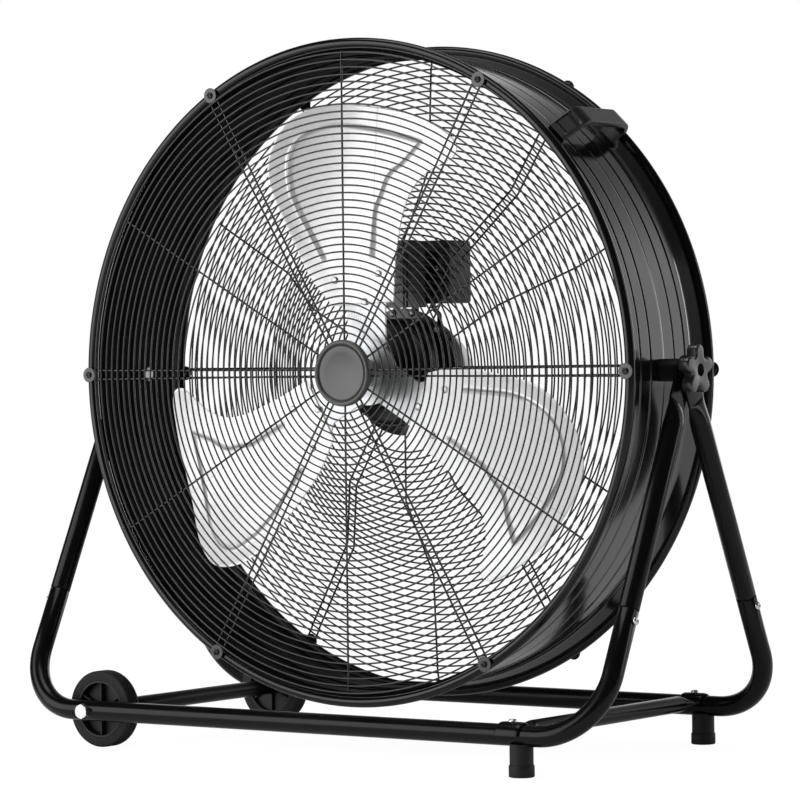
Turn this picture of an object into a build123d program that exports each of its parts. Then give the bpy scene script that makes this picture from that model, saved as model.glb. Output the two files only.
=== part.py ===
from build123d import *
from math import atan2, cos, degrees, hypot, radians, sin, sqrt
import os

os.makedirs("parts", exist_ok=True)

# Drum fan on a wheeled tube frame, in millimetres.
# +X is right seen from the front, +Y points to the back, +Z is up. Air leaves at the front, -Y.
# The origin is on the floor, straight under the axis that the drum tilts on.

# Fits
running_fit = 0.05  # radial, a pin that turns in a bore
seat_gap = 0.05  # between faces that are clamped together
hole_clearance = 0.1  # radial, a screw in its hole
side_gap = 0.3  # beside a wheel or a knob that turns
weld_gap = 0.03  # between crossing guard wires

# Tube frame
rail_height = 47.5  # centre of the floor rails
rail_spread = 206.0  # half the distance between the rails
tube_diameter = 25.0
tube_wall = 1.4
bend_radius = 80.0  # centre line
leg_clearance = 2.85  # between the rolled rims and the legs
joint_height = 189.0  # where an upper leg enters the lower tube
swage_diameter = 22.0  # drawn end of an upper leg
swage_length = 45.0
leg_screw_drop = 12.0
leg_screw_diameter = 4.8
pad_width = 35.0  # flattened end of an upper leg
pad_thickness = 4.0
pad_length = 42.0  # below the pivot
pad_transition = 32.0

# Cross brace, feet
brace_inset = 113.6  # from the leg's middle line in to the brace
brace_diameter = 20.0
brace_rise = 4.0  # brace axis over the rail axis
saddle_width = 32.0
saddle_thickness = 3.0
brace_screw_diameter = 5.0
foot_inset = 102.1  # from the leg's middle line in to the foot
foot_diameter = 30.0
foot_pad_height = 14.0
foot_stem_diameter = 27.7
foot_saddle_depth = 3.0
foot_screw_diameter = 5.0

# Axle, wheels
axle_inset = 105.6  # from the leg's middle line in to the axle
axle_bolt_diameter = 10.0
bolt_head_across_flats = 17.0
bolt_head_height = 6.4
axle_tube_diameter = 20.0
axle_tube_wall = 1.5
axle_plug_length = 24.0
axle_washer_diameter = 18.0
wheel_width = 21.0
wheel_centre_y = 177.0
wheel_rim_diameter = 72.0
wheel_rim_wall = 3.5
wheel_boss_diameter = 20.0
wheel_web_thickness = 4.0
wheel_rib_count = 6
wheel_rib_thickness = 2.6
tyre_groove_depth = 1.6
tyre_groove_width = 1.6

# Drum
barrel_radius = 391.0
barrel_wall = 1.5
rim_stand_out = 10.0  # middle of the rolled rims outside the barrel
rim_bead_diameter = 12.5
rim_depth = 90.0  # rolled rim in front of and behind the tilt axis
rim_over_rail = 8.25
flare_depth = 78.0
groove_depths = (-50.0, -27.0, 2.0, 27.0, 52.0)
groove_width = 4.0
groove_sink = 1.2

# Guards
spoke_wire_diameter = 2.5
ring_wire_diameter = 2.2
ring_wire_sides = 8  # flats that stand for the round wire, to keep its many rings light
ring_count = 39
inner_ring_radius = 49.0
guard_screw_inset = 1.0  # from the middle of the rim in to the screws
guard_screw_diameter = 5.9
guard_screw_head = 8.0
guard_screw_count = 6
washer_diameter = 18.8
washer_thickness = 1.2
hairpin_half_rim = 5.7  # half spacing of a double spoke at the rim
hairpin_half_hub = 3.65
front_spoke_start = 30.0
hub_plate_diameter = 76.0
hub_plate_thickness = 2.0
hub_cap_diameter = 81.0
hub_cap_depth = 7.4
hub_cap_wall = 2.2
cap_post_radius = 20.0
cap_post_diameter = 4.0
rear_step_insets = (15.0, 21.0)  # the rear wire steps in beside the rim
rear_step = 1.8
rear_cone_start = (255.0, 89.0)  # radius, depth where the rear wire turns in to the motor
rear_cone_end = (161.0, 30.0)
rear_spoke_end = 70.0
rear_ring_pitch = 9.3
rear_ring_inner = 96.0
wire_bend = 5.0

# Pivot and tilt knobs
stud_diameter = 10.0
stud_head_across_flats = 16.0
stud_head_height = 6.4
spacer_diameter = 27.0
knob_washer_diameter = 24.0
knob_washer_thickness = 1.4
knob_length = 14.4
knob_lobe_count = 5
knob_lobe_circle = 21.5
knob_lobe_radius = 8.5
knob_core_radius = 17.5
knob_valley_fillet = 4.5
knob_edge_fillet = 2.5
knob_bore_depth = 9.0
knob_recess_diameter = 15.0
knob_recess_depth = 3.0

# Carry handle
handle_angle = 46.0
handle_feet = (-43.0, 73.0)  # depths of the strap's ends on the barrel
handle_grip = (-21.0, 80.0)  # depths where the strap turns
handle_width = 27.0
handle_height = 34.0
handle_thickness = 8.0
handle_bends = (16.0, 9.0)
handle_screw_diameter = 5.0
handle_screw_shift = 1.5  # towards the lean of the leg
handle_screw_reach = 6.0

# Motor
motor_front = -8.0
bell_joint = 31.3
motor_back = 110.0
front_bell_radius = 66.0
front_bell_chamfer = 8.0
rear_bell_radius = 68.0
rear_taper_start = 64.0  # depth where the rear bell begins to narrow
rear_taper_end_radius = 50.0
rear_bell_chamfer = 4.0
bell_bore_radius = 63.0
bell_bore_chamfer = 6.0
bell_end_wall = 4.0
ear_circle_radius = 73.0
ear_radius = 6.5
ear_thickness = 3.0
mount_plate_inner_radius = 67.0
mount_plate_outer_radius = 79.0
mount_plate_thickness = 2.5
mount_screw_diameter = 5.0
mount_head_height = 3.2
mount_head_fillet = 1.2
shaft_opening_clearance = 0.6
shaft_diameter = 14.0
bearing_radius = 17.5
bearing_width = 11.0
bearing_housing_wall = 4.5
stator_front = 12.0
stator_back = 50.0
stator_bore_radius = 35.0
stator_slots = 24
air_gap = 0.5
winding_inner_radius = 40.0
winding_outer_radius = 59.0
winding_depth = 13.0

# Control box
box_half_width = 55.0
box_bottom = 85.0
box_top = 163.0
box_front = 51.0
box_joint = 92.0
box_back = 99.0
box_wall = 2.5
box_corner = 4.0
box_post_radius = 5.0
box_screw_inset = 8.0
box_thread_length = 14.0
box_head_height = 2.4
box_cover_fillet = 1.5
bracket_front = 33.6
bracket_thickness = 2.0
bracket_half_width = 30.0
bracket_tab = 14.0
bracket_bottom = 80.0
bracket_top = 150.0
bracket_leg_width = 10.0
bracket_leg_bottom = 68.5
bracket_post_radius = 4.5
bracket_screw_x = 14.0
bracket_screw_z = 73.0
bracket_flange_rise = 6.0  # from the bottom of the box up to the bracket's side flanges
box_screw_z = 128.0
box_screw_diameter = 4.0
dial_x = 22.0
dial_z = 124.0
dial_diameter = 38.0
dial_depth = 16.0
spindle_diameter = 6.0
switch_size = 30.0
switch_depth = 20.0
capacitor_size = (40.0, 22.0, 46.0)
capacitor_x = -11.0
gland_x = -38.0
gland_z = 124.0
gland_diameter = 16.0
gland_bore = 7.0
gland_length = 12.0
gland_hex_length = 5.0
gland_nose_taper = 8.0  # degrees
gland_step = 2.0  # the stem inside the wall is this much smaller in radius
gland_stem_length = 3.0
lead_diameter = 6.0
lead_route = ((24.0, 60.0, 86.5), (24.0, 60.0, 79.0), (33.0, 60.0, 71.0), (33.0, 60.0, 58.0))
lead_hole_length = 16.0

# Fan
blade_count = 3
blade_thickness = 2.0
blade_reference_radius = 200.0
blade_depth = -49.0  # mid surface at the reference radius
blade_pitch = 0.148
blade_sweep = 0.046
blade_twist = 0.00045
blade_camber = 0.00115
blade_dish = 0.0003
blade_camber_fade = 5e-6
blade_grid_step = 12.0
blade_root = ((-47.0, 82.0), (39.0, 86.0))
blade_edge = (
    (44.0, 150.0),
    (57.0, 207.0),
    (80.0, 238.0),
    (112.0, 253.0),
    (130.0, 261.0),
    (131.0, 277.0),
    (108.0, 294.0),
    (62.0, 314.0),
    (5.0, 326.0),
    (-50.0, 331.0),
    (-92.0, 315.0),
    (-114.0, 283.0),
    (-121.0, 245.0),
    (-109.0, 200.0),
    (-78.0, 124.0),
)
rivet_places = ((-42.0, 114.0), (18.0, 121.0), (-2.0, 87.0))
rivet_shank_diameter = 5.0
rivet_head_diameter = 9.0
rivet_head_height = 2.0
spider_thickness = 3.0
spider_disc_radius = 40.0
spider_disc_depths = (-49.0, -44.0)
spider_arm = (
    (-28.0, 22.0),
    (-28.0, 74.0),
    (-54.0, 104.0),
    (-54.0, 124.0),
    (-34.0, 130.0),
    (24.0, 134.0),
    (32.0, 122.0),
    (25.0, 74.0),
    (25.0, 22.0),
)
spider_arm_fillet = 7.0
boss_radius = 17.0
boss_front = -58.0
boss_back = -20.0
set_screw_diameter = 6.0
set_screw_depth = -32.0
shaft_front = -62.0

# Worked out from the driving dimensions
tube_radius = tube_diameter / 2
rim_bead_radius = rim_bead_diameter / 2
rim_circle_radius = barrel_radius + rim_stand_out
guard_screw_radius = rim_circle_radius - guard_screw_inset
leg_offset = rim_circle_radius + rim_bead_radius + leg_clearance + tube_radius
foot_x = leg_offset - foot_inset
brace_x = leg_offset - brace_inset
axle_x = axle_inset - leg_offset
hub_height = rail_height + rim_circle_radius + rim_bead_radius + rim_over_rail
leg_length = hypot(rail_spread, hub_height - rail_height)  # rail to pivot, along a leg
leg_lean = atan2(rail_spread, hub_height - rail_height)
joint_length = (joint_height - rail_height) / cos(leg_lean)
pad_end = leg_length - pad_length
tube_end = pad_end - pad_transition
spoke_radius = spoke_wire_diameter / 2
ring_radius = ring_wire_diameter / 2
ring_stand_off = spoke_radius + ring_radius + weld_gap
spoke_depth = rim_depth + rim_bead_radius + spoke_radius + seat_gap  # wire centre at the rim
outer_ring_radius = guard_screw_radius - washer_diameter / 2 - ring_radius - 2 * seat_gap
ring_pitch = (outer_ring_radius - inner_ring_radius) / (ring_count - 1)
rear_outline = (  # radius, depth of the rear spoke wire
    (guard_screw_radius, spoke_depth),
    (guard_screw_radius - rear_step_insets[0], spoke_depth),
    (guard_screw_radius - rear_step_insets[1], spoke_depth - rear_step),
    rear_cone_start,
    rear_cone_end,
    (rear_spoke_end, rear_cone_end[1]),
)
washer_depth = spoke_depth + spoke_radius + seat_gap
screw_head_depth = washer_depth + washer_thickness + seat_gap
barrel_inner_radius = barrel_radius - barrel_wall
wheel_radius = rail_height
stud_radius = stud_diameter / 2
washer_x = leg_offset + pad_thickness + seat_gap
knob_x = washer_x + knob_washer_thickness + seat_gap
dial_radius = dial_diameter / 2

fan_axis = Axis((0, 0, hub_height), (0, 1, 0))
radial_plane = Plane(origin=(0, 0, hub_height), x_dir=(1, 0, 0), z_dir=(0, 0, 1))


def write_piece(piece, node_name):
    """Label a finished piece and write its file."""
    piece.part.label = node_name
    export_step(piece.part, f"parts/{node_name}.step")


def front_plane(depth):
    """Plane across the fan axis at a depth, seen from the front: X right, Z up."""
    return Plane(origin=(0, depth, hub_height), x_dir=(1, 0, 0), z_dir=(0, -1, 0))


def spoke_plane(angle):
    """Plane across the fan axis with local x outwards at an angle; local z points to the front."""
    outwards = (cos(radians(angle)), 0, sin(radians(angle)))
    return Plane(origin=(0, 0, hub_height), x_dir=outwards, z_dir=(0, -1, 0))


def wall_plane(angle, depth, radius):
    """Plane that faces outwards at an angle, at a radius from the fan axis."""
    outwards = Vector(cos(radians(angle)), 0, sin(radians(angle)))
    centre = Vector(0, depth, hub_height) + outwards * radius
    return Plane(origin=centre, x_dir=(0, 1, 0), z_dir=outwards)


def side_plane(x, facing=1):
    """Plane across the tilt axis at x, with its normal to the right (1) or left (-1)."""
    return Plane(origin=(x, 0, hub_height), x_dir=(0, facing, 0), z_dir=(facing, 0, 0))


def leg_plane(side):
    """Plane of a front (-1) or rear (1) frame: local x right, local y up along the legs."""
    normal = (0, -cos(leg_lean), -side * sin(leg_lean))
    return Plane(origin=(0, side * rail_spread, rail_height), x_dir=(1, 0, 0), z_dir=normal)


def leg_section(side, x, along):
    """Plane across a leg, at a distance along it from the rail."""
    direction = (0, -side * sin(leg_lean), cos(leg_lean))
    centre = leg_plane(side).from_local_coords((x, along))
    return Plane(origin=centre, x_dir=(1, 0, 0), z_dir=direction)


def leg_screw_plane(side, facing, radius):
    """Plane across a leg screw, facing outwards, at a radius from the tube's centre line."""
    along = joint_length - leg_screw_drop
    centre = leg_plane(side).from_local_coords((facing * leg_offset, along))
    return Plane(origin=centre + Vector(facing * radius, 0, 0), z_dir=(facing, 0, 0))


# ---- Tube frame -------------------------------------------------------------------------------

frame_sides = ((-1, "front"), (1, "rear"))

for side, side_name in frame_sides:
    with BuildPart() as lower_tube:
        with BuildLine(leg_plane(side)) as tube_path:
            FilletPolyline(
                (-leg_offset, joint_length),
                (-leg_offset, 0),
                (leg_offset, 0),
                (leg_offset, joint_length),
                radius=bend_radius,
            )
        with BuildSketch(Plane(tube_path.line @ 0, z_dir=tube_path.line % 0)):
            Circle(tube_radius)
            Circle(tube_radius - tube_wall, mode=Mode.SUBTRACT)
        sweep(path=tube_path.line)
        for facing in (-1, 1):
            with BuildSketch(leg_screw_plane(side, facing, 0)):
                Circle(leg_screw_diameter / 2 + hole_clearance)
            extrude(amount=tube_radius + 1, mode=Mode.SUBTRACT)
        rail_plane = Plane(
            origin=(0, side * rail_spread, rail_height), x_dir=(1, 0, 0), z_dir=(0, -1, 0)
        )
        with BuildSketch(rail_plane):
            with Locations((axle_x, 0)):
                Circle(axle_bolt_diameter / 2 + hole_clearance)
        extrude(amount=tube_diameter, both=True, mode=Mode.SUBTRACT)
        with BuildSketch(Plane.XY.offset(rail_height)):
            with Locations((foot_x, side * rail_spread)):
                Circle(foot_screw_diameter / 2 + hole_clearance)
        extrude(amount=-tube_radius - 1, mode=Mode.SUBTRACT)
        with BuildSketch(Plane.XY.offset(rail_height)):
            with Locations((brace_x, side * rail_spread)):
                Circle(brace_screw_diameter / 2 + hole_clearance)
        extrude(amount=tube_radius + 1, mode=Mode.SUBTRACT)
    write_piece(lower_tube, f"{side_name}_lower_tube")

for side, side_name in frame_sides:
    # the front legs end nearer the drum than the rear legs, so the flat ends lie side by side
    pad_x = leg_offset + side * pad_thickness / 2
    with BuildPart() as right_leg:
        with BuildSketch(leg_section(side, leg_offset, joint_length - swage_length)):
            Circle(swage_diameter / 2)
            Circle(swage_diameter / 2 - tube_wall, mode=Mode.SUBTRACT)
        extrude(amount=swage_length)
        with BuildSketch(leg_section(side, leg_offset, joint_length)):
            Circle(tube_radius)
            Circle(swage_diameter / 2 - tube_wall, mode=Mode.SUBTRACT)
        extrude(amount=tube_end - joint_length)
        with BuildSketch(leg_section(side, leg_offset, tube_end)):
            RectangleRounded(tube_diameter, tube_diameter, tube_radius - 0.1)
        with BuildSketch(leg_section(side, pad_x, pad_end)):
            RectangleRounded(pad_thickness, pad_width, pad_thickness / 2 - 0.1)
        loft()
        down_leg = Plane(
            origin=(pad_x - pad_thickness / 2, 0, hub_height),
            x_dir=(0, -cos(leg_lean), -side * sin(leg_lean)),
            z_dir=(1, 0, 0),
        )
        with BuildSketch(down_leg):
            Circle(pad_width / 2)
            with Locations((0, (pad_length + 1) / 2)):
                Rectangle(pad_width, pad_length + 1)
        extrude(amount=pad_thickness)
        with BuildSketch(side_plane(leg_offset)):
            Circle(stud_radius + running_fit)
        extrude(amount=pad_thickness * 2, both=True, mode=Mode.SUBTRACT)
        with BuildSketch(leg_screw_plane(side, 1, 0)):
            Circle(leg_screw_diameter / 2 + hole_clearance)
        extrude(amount=tube_radius, mode=Mode.SUBTRACT)
    write_piece(right_leg, f"{side_name}_right_leg")

    with BuildPart() as left_leg:
        mirror(right_leg.part, about=Plane.YZ)
    write_piece(left_leg, f"{side_name}_left_leg")

leg_screw_head_height = 3.4
with BuildPart() as leg_screws:
    for side, side_name in frame_sides:
        for facing in (-1, 1):
            with BuildSketch(leg_screw_plane(side, facing, swage_diameter / 4)):
                Circle(leg_screw_diameter / 2)
            extrude(amount=tube_radius - swage_diameter / 4 + seat_gap + 1)
            with BuildSketch(leg_screw_plane(side, facing, tube_radius + seat_gap)):
                Circle(leg_screw_diameter)
            extrude(amount=leg_screw_head_height)
    fillet(leg_screws.edges().group_by(Axis.X)[0], leg_screw_head_height / 2)
    fillet(leg_screws.edges().group_by(Axis.X)[-1], leg_screw_head_height / 2)
write_piece(leg_screws, "leg_screws")

# ---- Cross brace and feet ---------------------------------------------------------------------

saddle_inner = tube_radius + seat_gap
saddle_outer = saddle_inner + saddle_thickness
saddle_neck = 16.0  # from the rail axis to the end of the round tube's flattening
neck_length = 26.0

with BuildPart() as cross_brace:
    brace_height = rail_height + brace_rise
    round_end = rail_spread - saddle_neck - neck_length
    with BuildSketch(Plane(origin=(brace_x, 0, brace_height), x_dir=(1, 0, 0), z_dir=(0, -1, 0))):
        Circle(brace_diameter / 2)
        Circle(brace_diameter / 2 - tube_wall, mode=Mode.SUBTRACT)
    extrude(amount=round_end, both=True)
    for side, side_name in frame_sides:
        with BuildSketch(
            Plane(origin=(brace_x, side * round_end, brace_height), x_dir=(1, 0, 0), z_dir=(0, side, 0))
        ):
            RectangleRounded(brace_diameter, brace_diameter, brace_diameter / 2 - 0.1)
        with BuildSketch(
            Plane(
                origin=(brace_x, side * (rail_spread - saddle_neck + 1), brace_height),
                x_dir=(1, 0, 0),
                z_dir=(0, side, 0),
            )
        ):
            RectangleRounded(saddle_width, saddle_thickness, saddle_thickness / 2 - 0.1)
        loft()
        with BuildSketch(
            Plane(
                origin=(brace_x - saddle_width / 2, side * rail_spread, rail_height),
                x_dir=(0, 1, 0),
                z_dir=(1, 0, 0),
            )
        ):
            Circle(saddle_outer)
            Circle(saddle_inner, mode=Mode.SUBTRACT)
            with Locations((0, -saddle_outer)):
                Rectangle(4 * saddle_outer, 2 * saddle_outer, mode=Mode.SUBTRACT)
        extrude(amount=saddle_width)
        with BuildSketch(Plane.XY.offset(rail_height)):
            with Locations((brace_x, side * rail_spread)):
                Circle(brace_screw_diameter / 2 + hole_clearance)
        extrude(amount=2 * saddle_outer, mode=Mode.SUBTRACT)
write_piece(cross_brace, "cross_brace")

brace_screw_head = 3.2
with BuildPart() as brace_screws:
    rail_points = [(brace_x, side * rail_spread) for side, side_name in frame_sides]
    with BuildSketch(Plane.XY.offset(rail_height + tube_radius / 2)):
        with Locations(rail_points):
            Circle(brace_screw_diameter / 2)
    extrude(amount=saddle_outer - tube_radius / 2 + 1)
    with BuildSketch(Plane.XY.offset(rail_height + saddle_outer + seat_gap)):
        with Locations(rail_points):
            Circle(brace_screw_diameter)
    extrude(amount=brace_screw_head)
    fillet(brace_screws.edges().group_by(Axis.Z)[-1], brace_screw_head / 2)
write_piece(brace_screws, "brace_screws")

foot_points = [(foot_x, side * rail_spread) for side, side_name in frame_sides]
foot_screw_head_diameter = 10.0
foot_screw_head_height = 3.5
foot_recess_depth = 7.0

with BuildPart() as rubber_feet:
    with BuildSketch(Plane.XY):
        with Locations(foot_points):
            Circle(foot_diameter / 2)
    extrude(amount=foot_pad_height)
    chamfer(rubber_feet.edges().group_by(Axis.Z)[0], 1.0)
    with BuildSketch(Plane.XY):
        with Locations(foot_points):
            Circle(foot_stem_diameter / 2)
    extrude(amount=rail_height - tube_radius + foot_saddle_depth)
    with BuildSketch(Plane.XY):
        with Locations(foot_points):
            Circle(foot_screw_head_diameter / 2 + hole_clearance)
    extrude(amount=foot_recess_depth, mode=Mode.SUBTRACT)
    with BuildSketch(Plane.XY):
        with Locations(foot_points):
            Circle(foot_screw_diameter / 2 + hole_clearance)
    extrude(amount=rail_height, mode=Mode.SUBTRACT)
    for side, side_name in frame_sides:
        rail_face = Plane(
            origin=(foot_x, side * rail_spread, rail_height), x_dir=(0, 1, 0), z_dir=(1, 0, 0)
        )
        with BuildSketch(rail_face):
            Circle(tube_radius + seat_gap)
        extrude(amount=foot_diameter, both=True, mode=Mode.SUBTRACT)
write_piece(rubber_feet, "rubber_feet")

with BuildPart() as foot_screws:
    with BuildSketch(Plane.XY.offset(foot_recess_depth - foot_screw_head_height - seat_gap)):
        with Locations(foot_points):
            Circle(foot_screw_head_diameter / 2)
    extrude(amount=foot_screw_head_height)
    with BuildSketch(Plane.XY.offset(foot_recess_depth - foot_screw_head_height)):
        with Locations(foot_points):
            Circle(foot_screw_diameter / 2)
    extrude(amount=rail_height - foot_recess_depth)
write_piece(foot_screws, "foot_screws")

# ---- Axle and wheels --------------------------------------------------------------------------

wheel_outer_face = wheel_centre_y + wheel_width / 2
wheel_inner_face = wheel_centre_y - wheel_width / 2
axle_tube_end = wheel_inner_face - side_gap
bolt_head_depth = rail_spread + tube_radius + seat_gap
plug_start = axle_tube_end - axle_plug_length
axle_centre = Plane(origin=(axle_x, 0, rail_height), x_dir=(1, 0, 0), z_dir=(0, -1, 0))

with BuildPart() as axle_tube:
    with BuildSketch(axle_centre):
        Circle(axle_tube_diameter / 2)
        Circle(axle_tube_diameter / 2 - axle_tube_wall, mode=Mode.SUBTRACT)
    extrude(amount=axle_tube_end, both=True)
write_piece(axle_tube, "axle_tube")

with BuildPart() as axle_plugs:
    with BuildSketch(axle_centre.offset(plug_start)):
        Circle(axle_tube_diameter / 2 - axle_tube_wall - seat_gap)
        Circle(axle_bolt_diameter / 2 + seat_gap, mode=Mode.SUBTRACT)
    extrude(amount=axle_plug_length)
    mirror(about=Plane.XZ)
write_piece(axle_plugs, "axle_plugs")

with BuildPart() as axle_bolts:
    with BuildSketch(axle_centre.offset(plug_start + 4)):
        Circle(axle_bolt_diameter / 2)
    extrude(amount=bolt_head_depth - plug_start - 3)
    with BuildSketch(axle_centre.offset(bolt_head_depth)):
        RegularPolygon(bolt_head_across_flats / 2, 6, major_radius=False)
    extrude(amount=bolt_head_height)
    mirror(about=Plane.XZ)
write_piece(axle_bolts, "axle_bolts")

with BuildPart() as axle_washers:
    with BuildSketch(axle_centre.offset(wheel_outer_face + side_gap)):
        Circle(axle_washer_diameter / 2)
        Circle(axle_bolt_diameter / 2 + hole_clearance, mode=Mode.SUBTRACT)
    extrude(amount=rail_spread - tube_radius - wheel_outer_face - side_gap - seat_gap)
    mirror(about=Plane.XZ)
write_piece(axle_washers, "axle_washers")

wheel_rim_radius = wheel_rim_diameter / 2
wheel_web_dish = 1.5  # the web sits this much inside the middle of the rim
tyre_groove_offsets = (-4.6, 0.0, 4.6)

for side, side_name in frame_sides:
    wheel_middle = Plane(
        origin=(axle_x, side * wheel_centre_y, rail_height), x_dir=(1, 0, 0), z_dir=(0, side, 0)
    )
    with BuildPart() as wheel:
        with BuildSketch(wheel_middle):
            Circle(wheel_rim_radius)
            Circle(wheel_rim_radius - wheel_rim_wall, mode=Mode.SUBTRACT)
        extrude(amount=wheel_width / 2, both=True)
        with BuildSketch(wheel_middle):
            Circle(wheel_boss_diameter / 2)
        extrude(amount=wheel_width / 2, both=True)
        with BuildSketch(wheel_middle.offset(-wheel_web_dish)):
            Circle(wheel_rim_radius - wheel_rim_wall / 2)
        extrude(amount=wheel_web_thickness / 2, both=True)
        with BuildSketch(wheel_middle):
            rib_length = wheel_rim_radius - wheel_rim_wall / 2
            with PolarLocations(rib_length / 2, wheel_rib_count, start_angle=90):
                Rectangle(rib_length, wheel_rib_thickness)
        extrude(amount=wheel_width / 2 - 2.5, both=True)
        with BuildSketch(wheel_middle):
            Circle(axle_bolt_diameter / 2 + running_fit)
        extrude(amount=wheel_width, both=True, mode=Mode.SUBTRACT)
    write_piece(wheel, f"{side_name}_wheel")

    with BuildPart() as tyre:
        tyre_section = Plane(
            origin=(axle_x, side * wheel_centre_y, rail_height), x_dir=(1, 0, 0), z_dir=(0, 0, 1)
        )
        with BuildSketch(tyre_section):
            tyre_height = wheel_radius - wheel_rim_radius - seat_gap
            with Locations((wheel_rim_radius + seat_gap + tyre_height / 2, 0)):
                RectangleRounded(tyre_height, wheel_width, 2.2)
            with Locations(*[(wheel_radius, offset) for offset in tyre_groove_offsets]):
                Rectangle(2 * tyre_groove_depth, tyre_groove_width, mode=Mode.SUBTRACT)
        revolve(axis=Axis((axle_x, 0, rail_height), (0, 1, 0)))
    write_piece(tyre, f"{side_name}_tyre")

# ---- Drum -------------------------------------------------------------------------------------


def sheet_points(radius):
    """Points (radius, depth) along one face of the barrel sheet, from rim to rim."""
    reach = hypot(rim_circle_radius - barrel_radius, rim_depth - flare_depth)
    share = (rim_bead_radius - 0.9 * barrel_wall) / reach
    end_radius = rim_circle_radius - (rim_circle_radius - barrel_radius) * share
    end_depth = rim_depth - (rim_depth - flare_depth) * share
    flare_end = (end_radius + radius - barrel_radius, end_depth)
    points = [(flare_end[0], -flare_end[1]), (radius, -flare_depth)]
    for depth in groove_depths:
        points.append((radius, depth - groove_width / 2))
        points.append((radius - groove_sink, depth - groove_width / 5))
        points.append((radius - groove_sink, depth + groove_width / 5))
        points.append((radius, depth + groove_width / 2))
    points += [(radius, flare_depth), flare_end]
    return points


handle_screw_depths = [depth + handle_screw_shift for depth in handle_feet]

with BuildPart() as barrel:
    with BuildSketch(radial_plane):
        with BuildLine():
            Polyline(*sheet_points(barrel_radius), *reversed(sheet_points(barrel_inner_radius)), close=True)
        make_face()
        with Locations((rim_circle_radius, -rim_depth), (rim_circle_radius, rim_depth)):
            Circle(rim_bead_radius)
        with Locations((rim_circle_radius, -rim_depth), (rim_circle_radius, rim_depth)):
            Circle(rim_bead_radius - barrel_wall, mode=Mode.SUBTRACT)
    revolve(axis=fan_axis)
    with BuildSketch(side_plane(0)):
        Circle(stud_radius + hole_clearance)
    extrude(amount=barrel_radius + 2, both=True, mode=Mode.SUBTRACT)
    for face_depth, direction in ((-rim_depth, 1), (rim_depth, -1)):
        with BuildSketch(front_plane(face_depth)):
            with PolarLocations(guard_screw_radius, guard_screw_count):
                Circle(guard_screw_diameter / 2 + hole_clearance)
        extrude(amount=direction * rim_bead_diameter, mode=Mode.SUBTRACT)
    for depth in handle_screw_depths:
        with BuildSketch(wall_plane(handle_angle, depth, barrel_radius - 5)):
            Circle(handle_screw_diameter / 2 + hole_clearance)
        extrude(amount=10, mode=Mode.SUBTRACT)
write_piece(barrel, "barrel")

# ---- Guards -----------------------------------------------------------------------------------


def ring_section(heading):
    """Section of a ring's wire, with a flat on the spokes, which run at a heading in degrees."""
    half_side = 180 / ring_wire_sides
    RegularPolygon(ring_radius, ring_wire_sides, major_radius=False, rotation=heading + half_side)


with BuildPart() as front_guard_rings:
    with BuildSketch(radial_plane):
        for index in range(ring_count):
            with Locations((outer_ring_radius - index * ring_pitch, -spoke_depth - ring_stand_off)):
                ring_section(0)
    revolve(axis=fan_axis)
write_piece(front_guard_rings, "front_guard_rings")

double_angles = [index * 360 / guard_screw_count for index in range(guard_screw_count)]
single_angles = [angle + 180 / guard_screw_count for angle in double_angles]

with BuildPart() as front_guard_spokes:
    for angle in double_angles:
        with BuildLine(spoke_plane(angle)) as spoke:
            leg = Line(
                (front_spoke_start, hairpin_half_hub, spoke_depth),
                (guard_screw_radius, hairpin_half_rim, spoke_depth),
            )
            rim_point = spoke_plane(angle).from_local_coords(
                (guard_screw_radius, -hairpin_half_rim, spoke_depth)
            )
            TangentArc(leg @ 1, rim_point, tangent=leg % 1)
            Line(rim_point, (front_spoke_start, -hairpin_half_hub, spoke_depth))
        with BuildSketch(Plane(spoke.line @ 0, z_dir=spoke.line % 0)):
            Circle(spoke_radius)
        sweep(path=spoke.line)
    for angle in single_angles:
        with BuildLine(spoke_plane(angle)) as spoke:
            Line((front_spoke_start, 0, spoke_depth), (outer_ring_radius + 2, 0, spoke_depth))
        with BuildSketch(Plane(spoke.line @ 0, z_dir=spoke.line % 0)):
            Circle(spoke_radius)
        sweep(path=spoke.line)
write_piece(front_guard_spokes, "front_guard_spokes")

hub_plate_front = -spoke_depth + spoke_radius + seat_gap
cap_base = -spoke_depth - spoke_radius - seat_gap
post_angles = 90.0

with BuildPart() as front_guard_hub_plate:
    with BuildSketch(front_plane(hub_plate_front + hub_plate_thickness)):
        Circle(hub_plate_diameter / 2)
        with PolarLocations(cap_post_radius, 3, start_angle=post_angles):
            Circle(cap_post_diameter / 2 + hole_clearance, mode=Mode.SUBTRACT)
    extrude(amount=hub_plate_thickness)
    fillet(front_guard_hub_plate.edges().group_by(SortBy.LENGTH)[-1], 0.6)
write_piece(front_guard_hub_plate, "front_guard_hub_plate")

cap_radius = hub_cap_diameter / 2
cap_front = cap_base - hub_cap_depth
cap_bead = 3.0
cap_dish = 1.6

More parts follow.
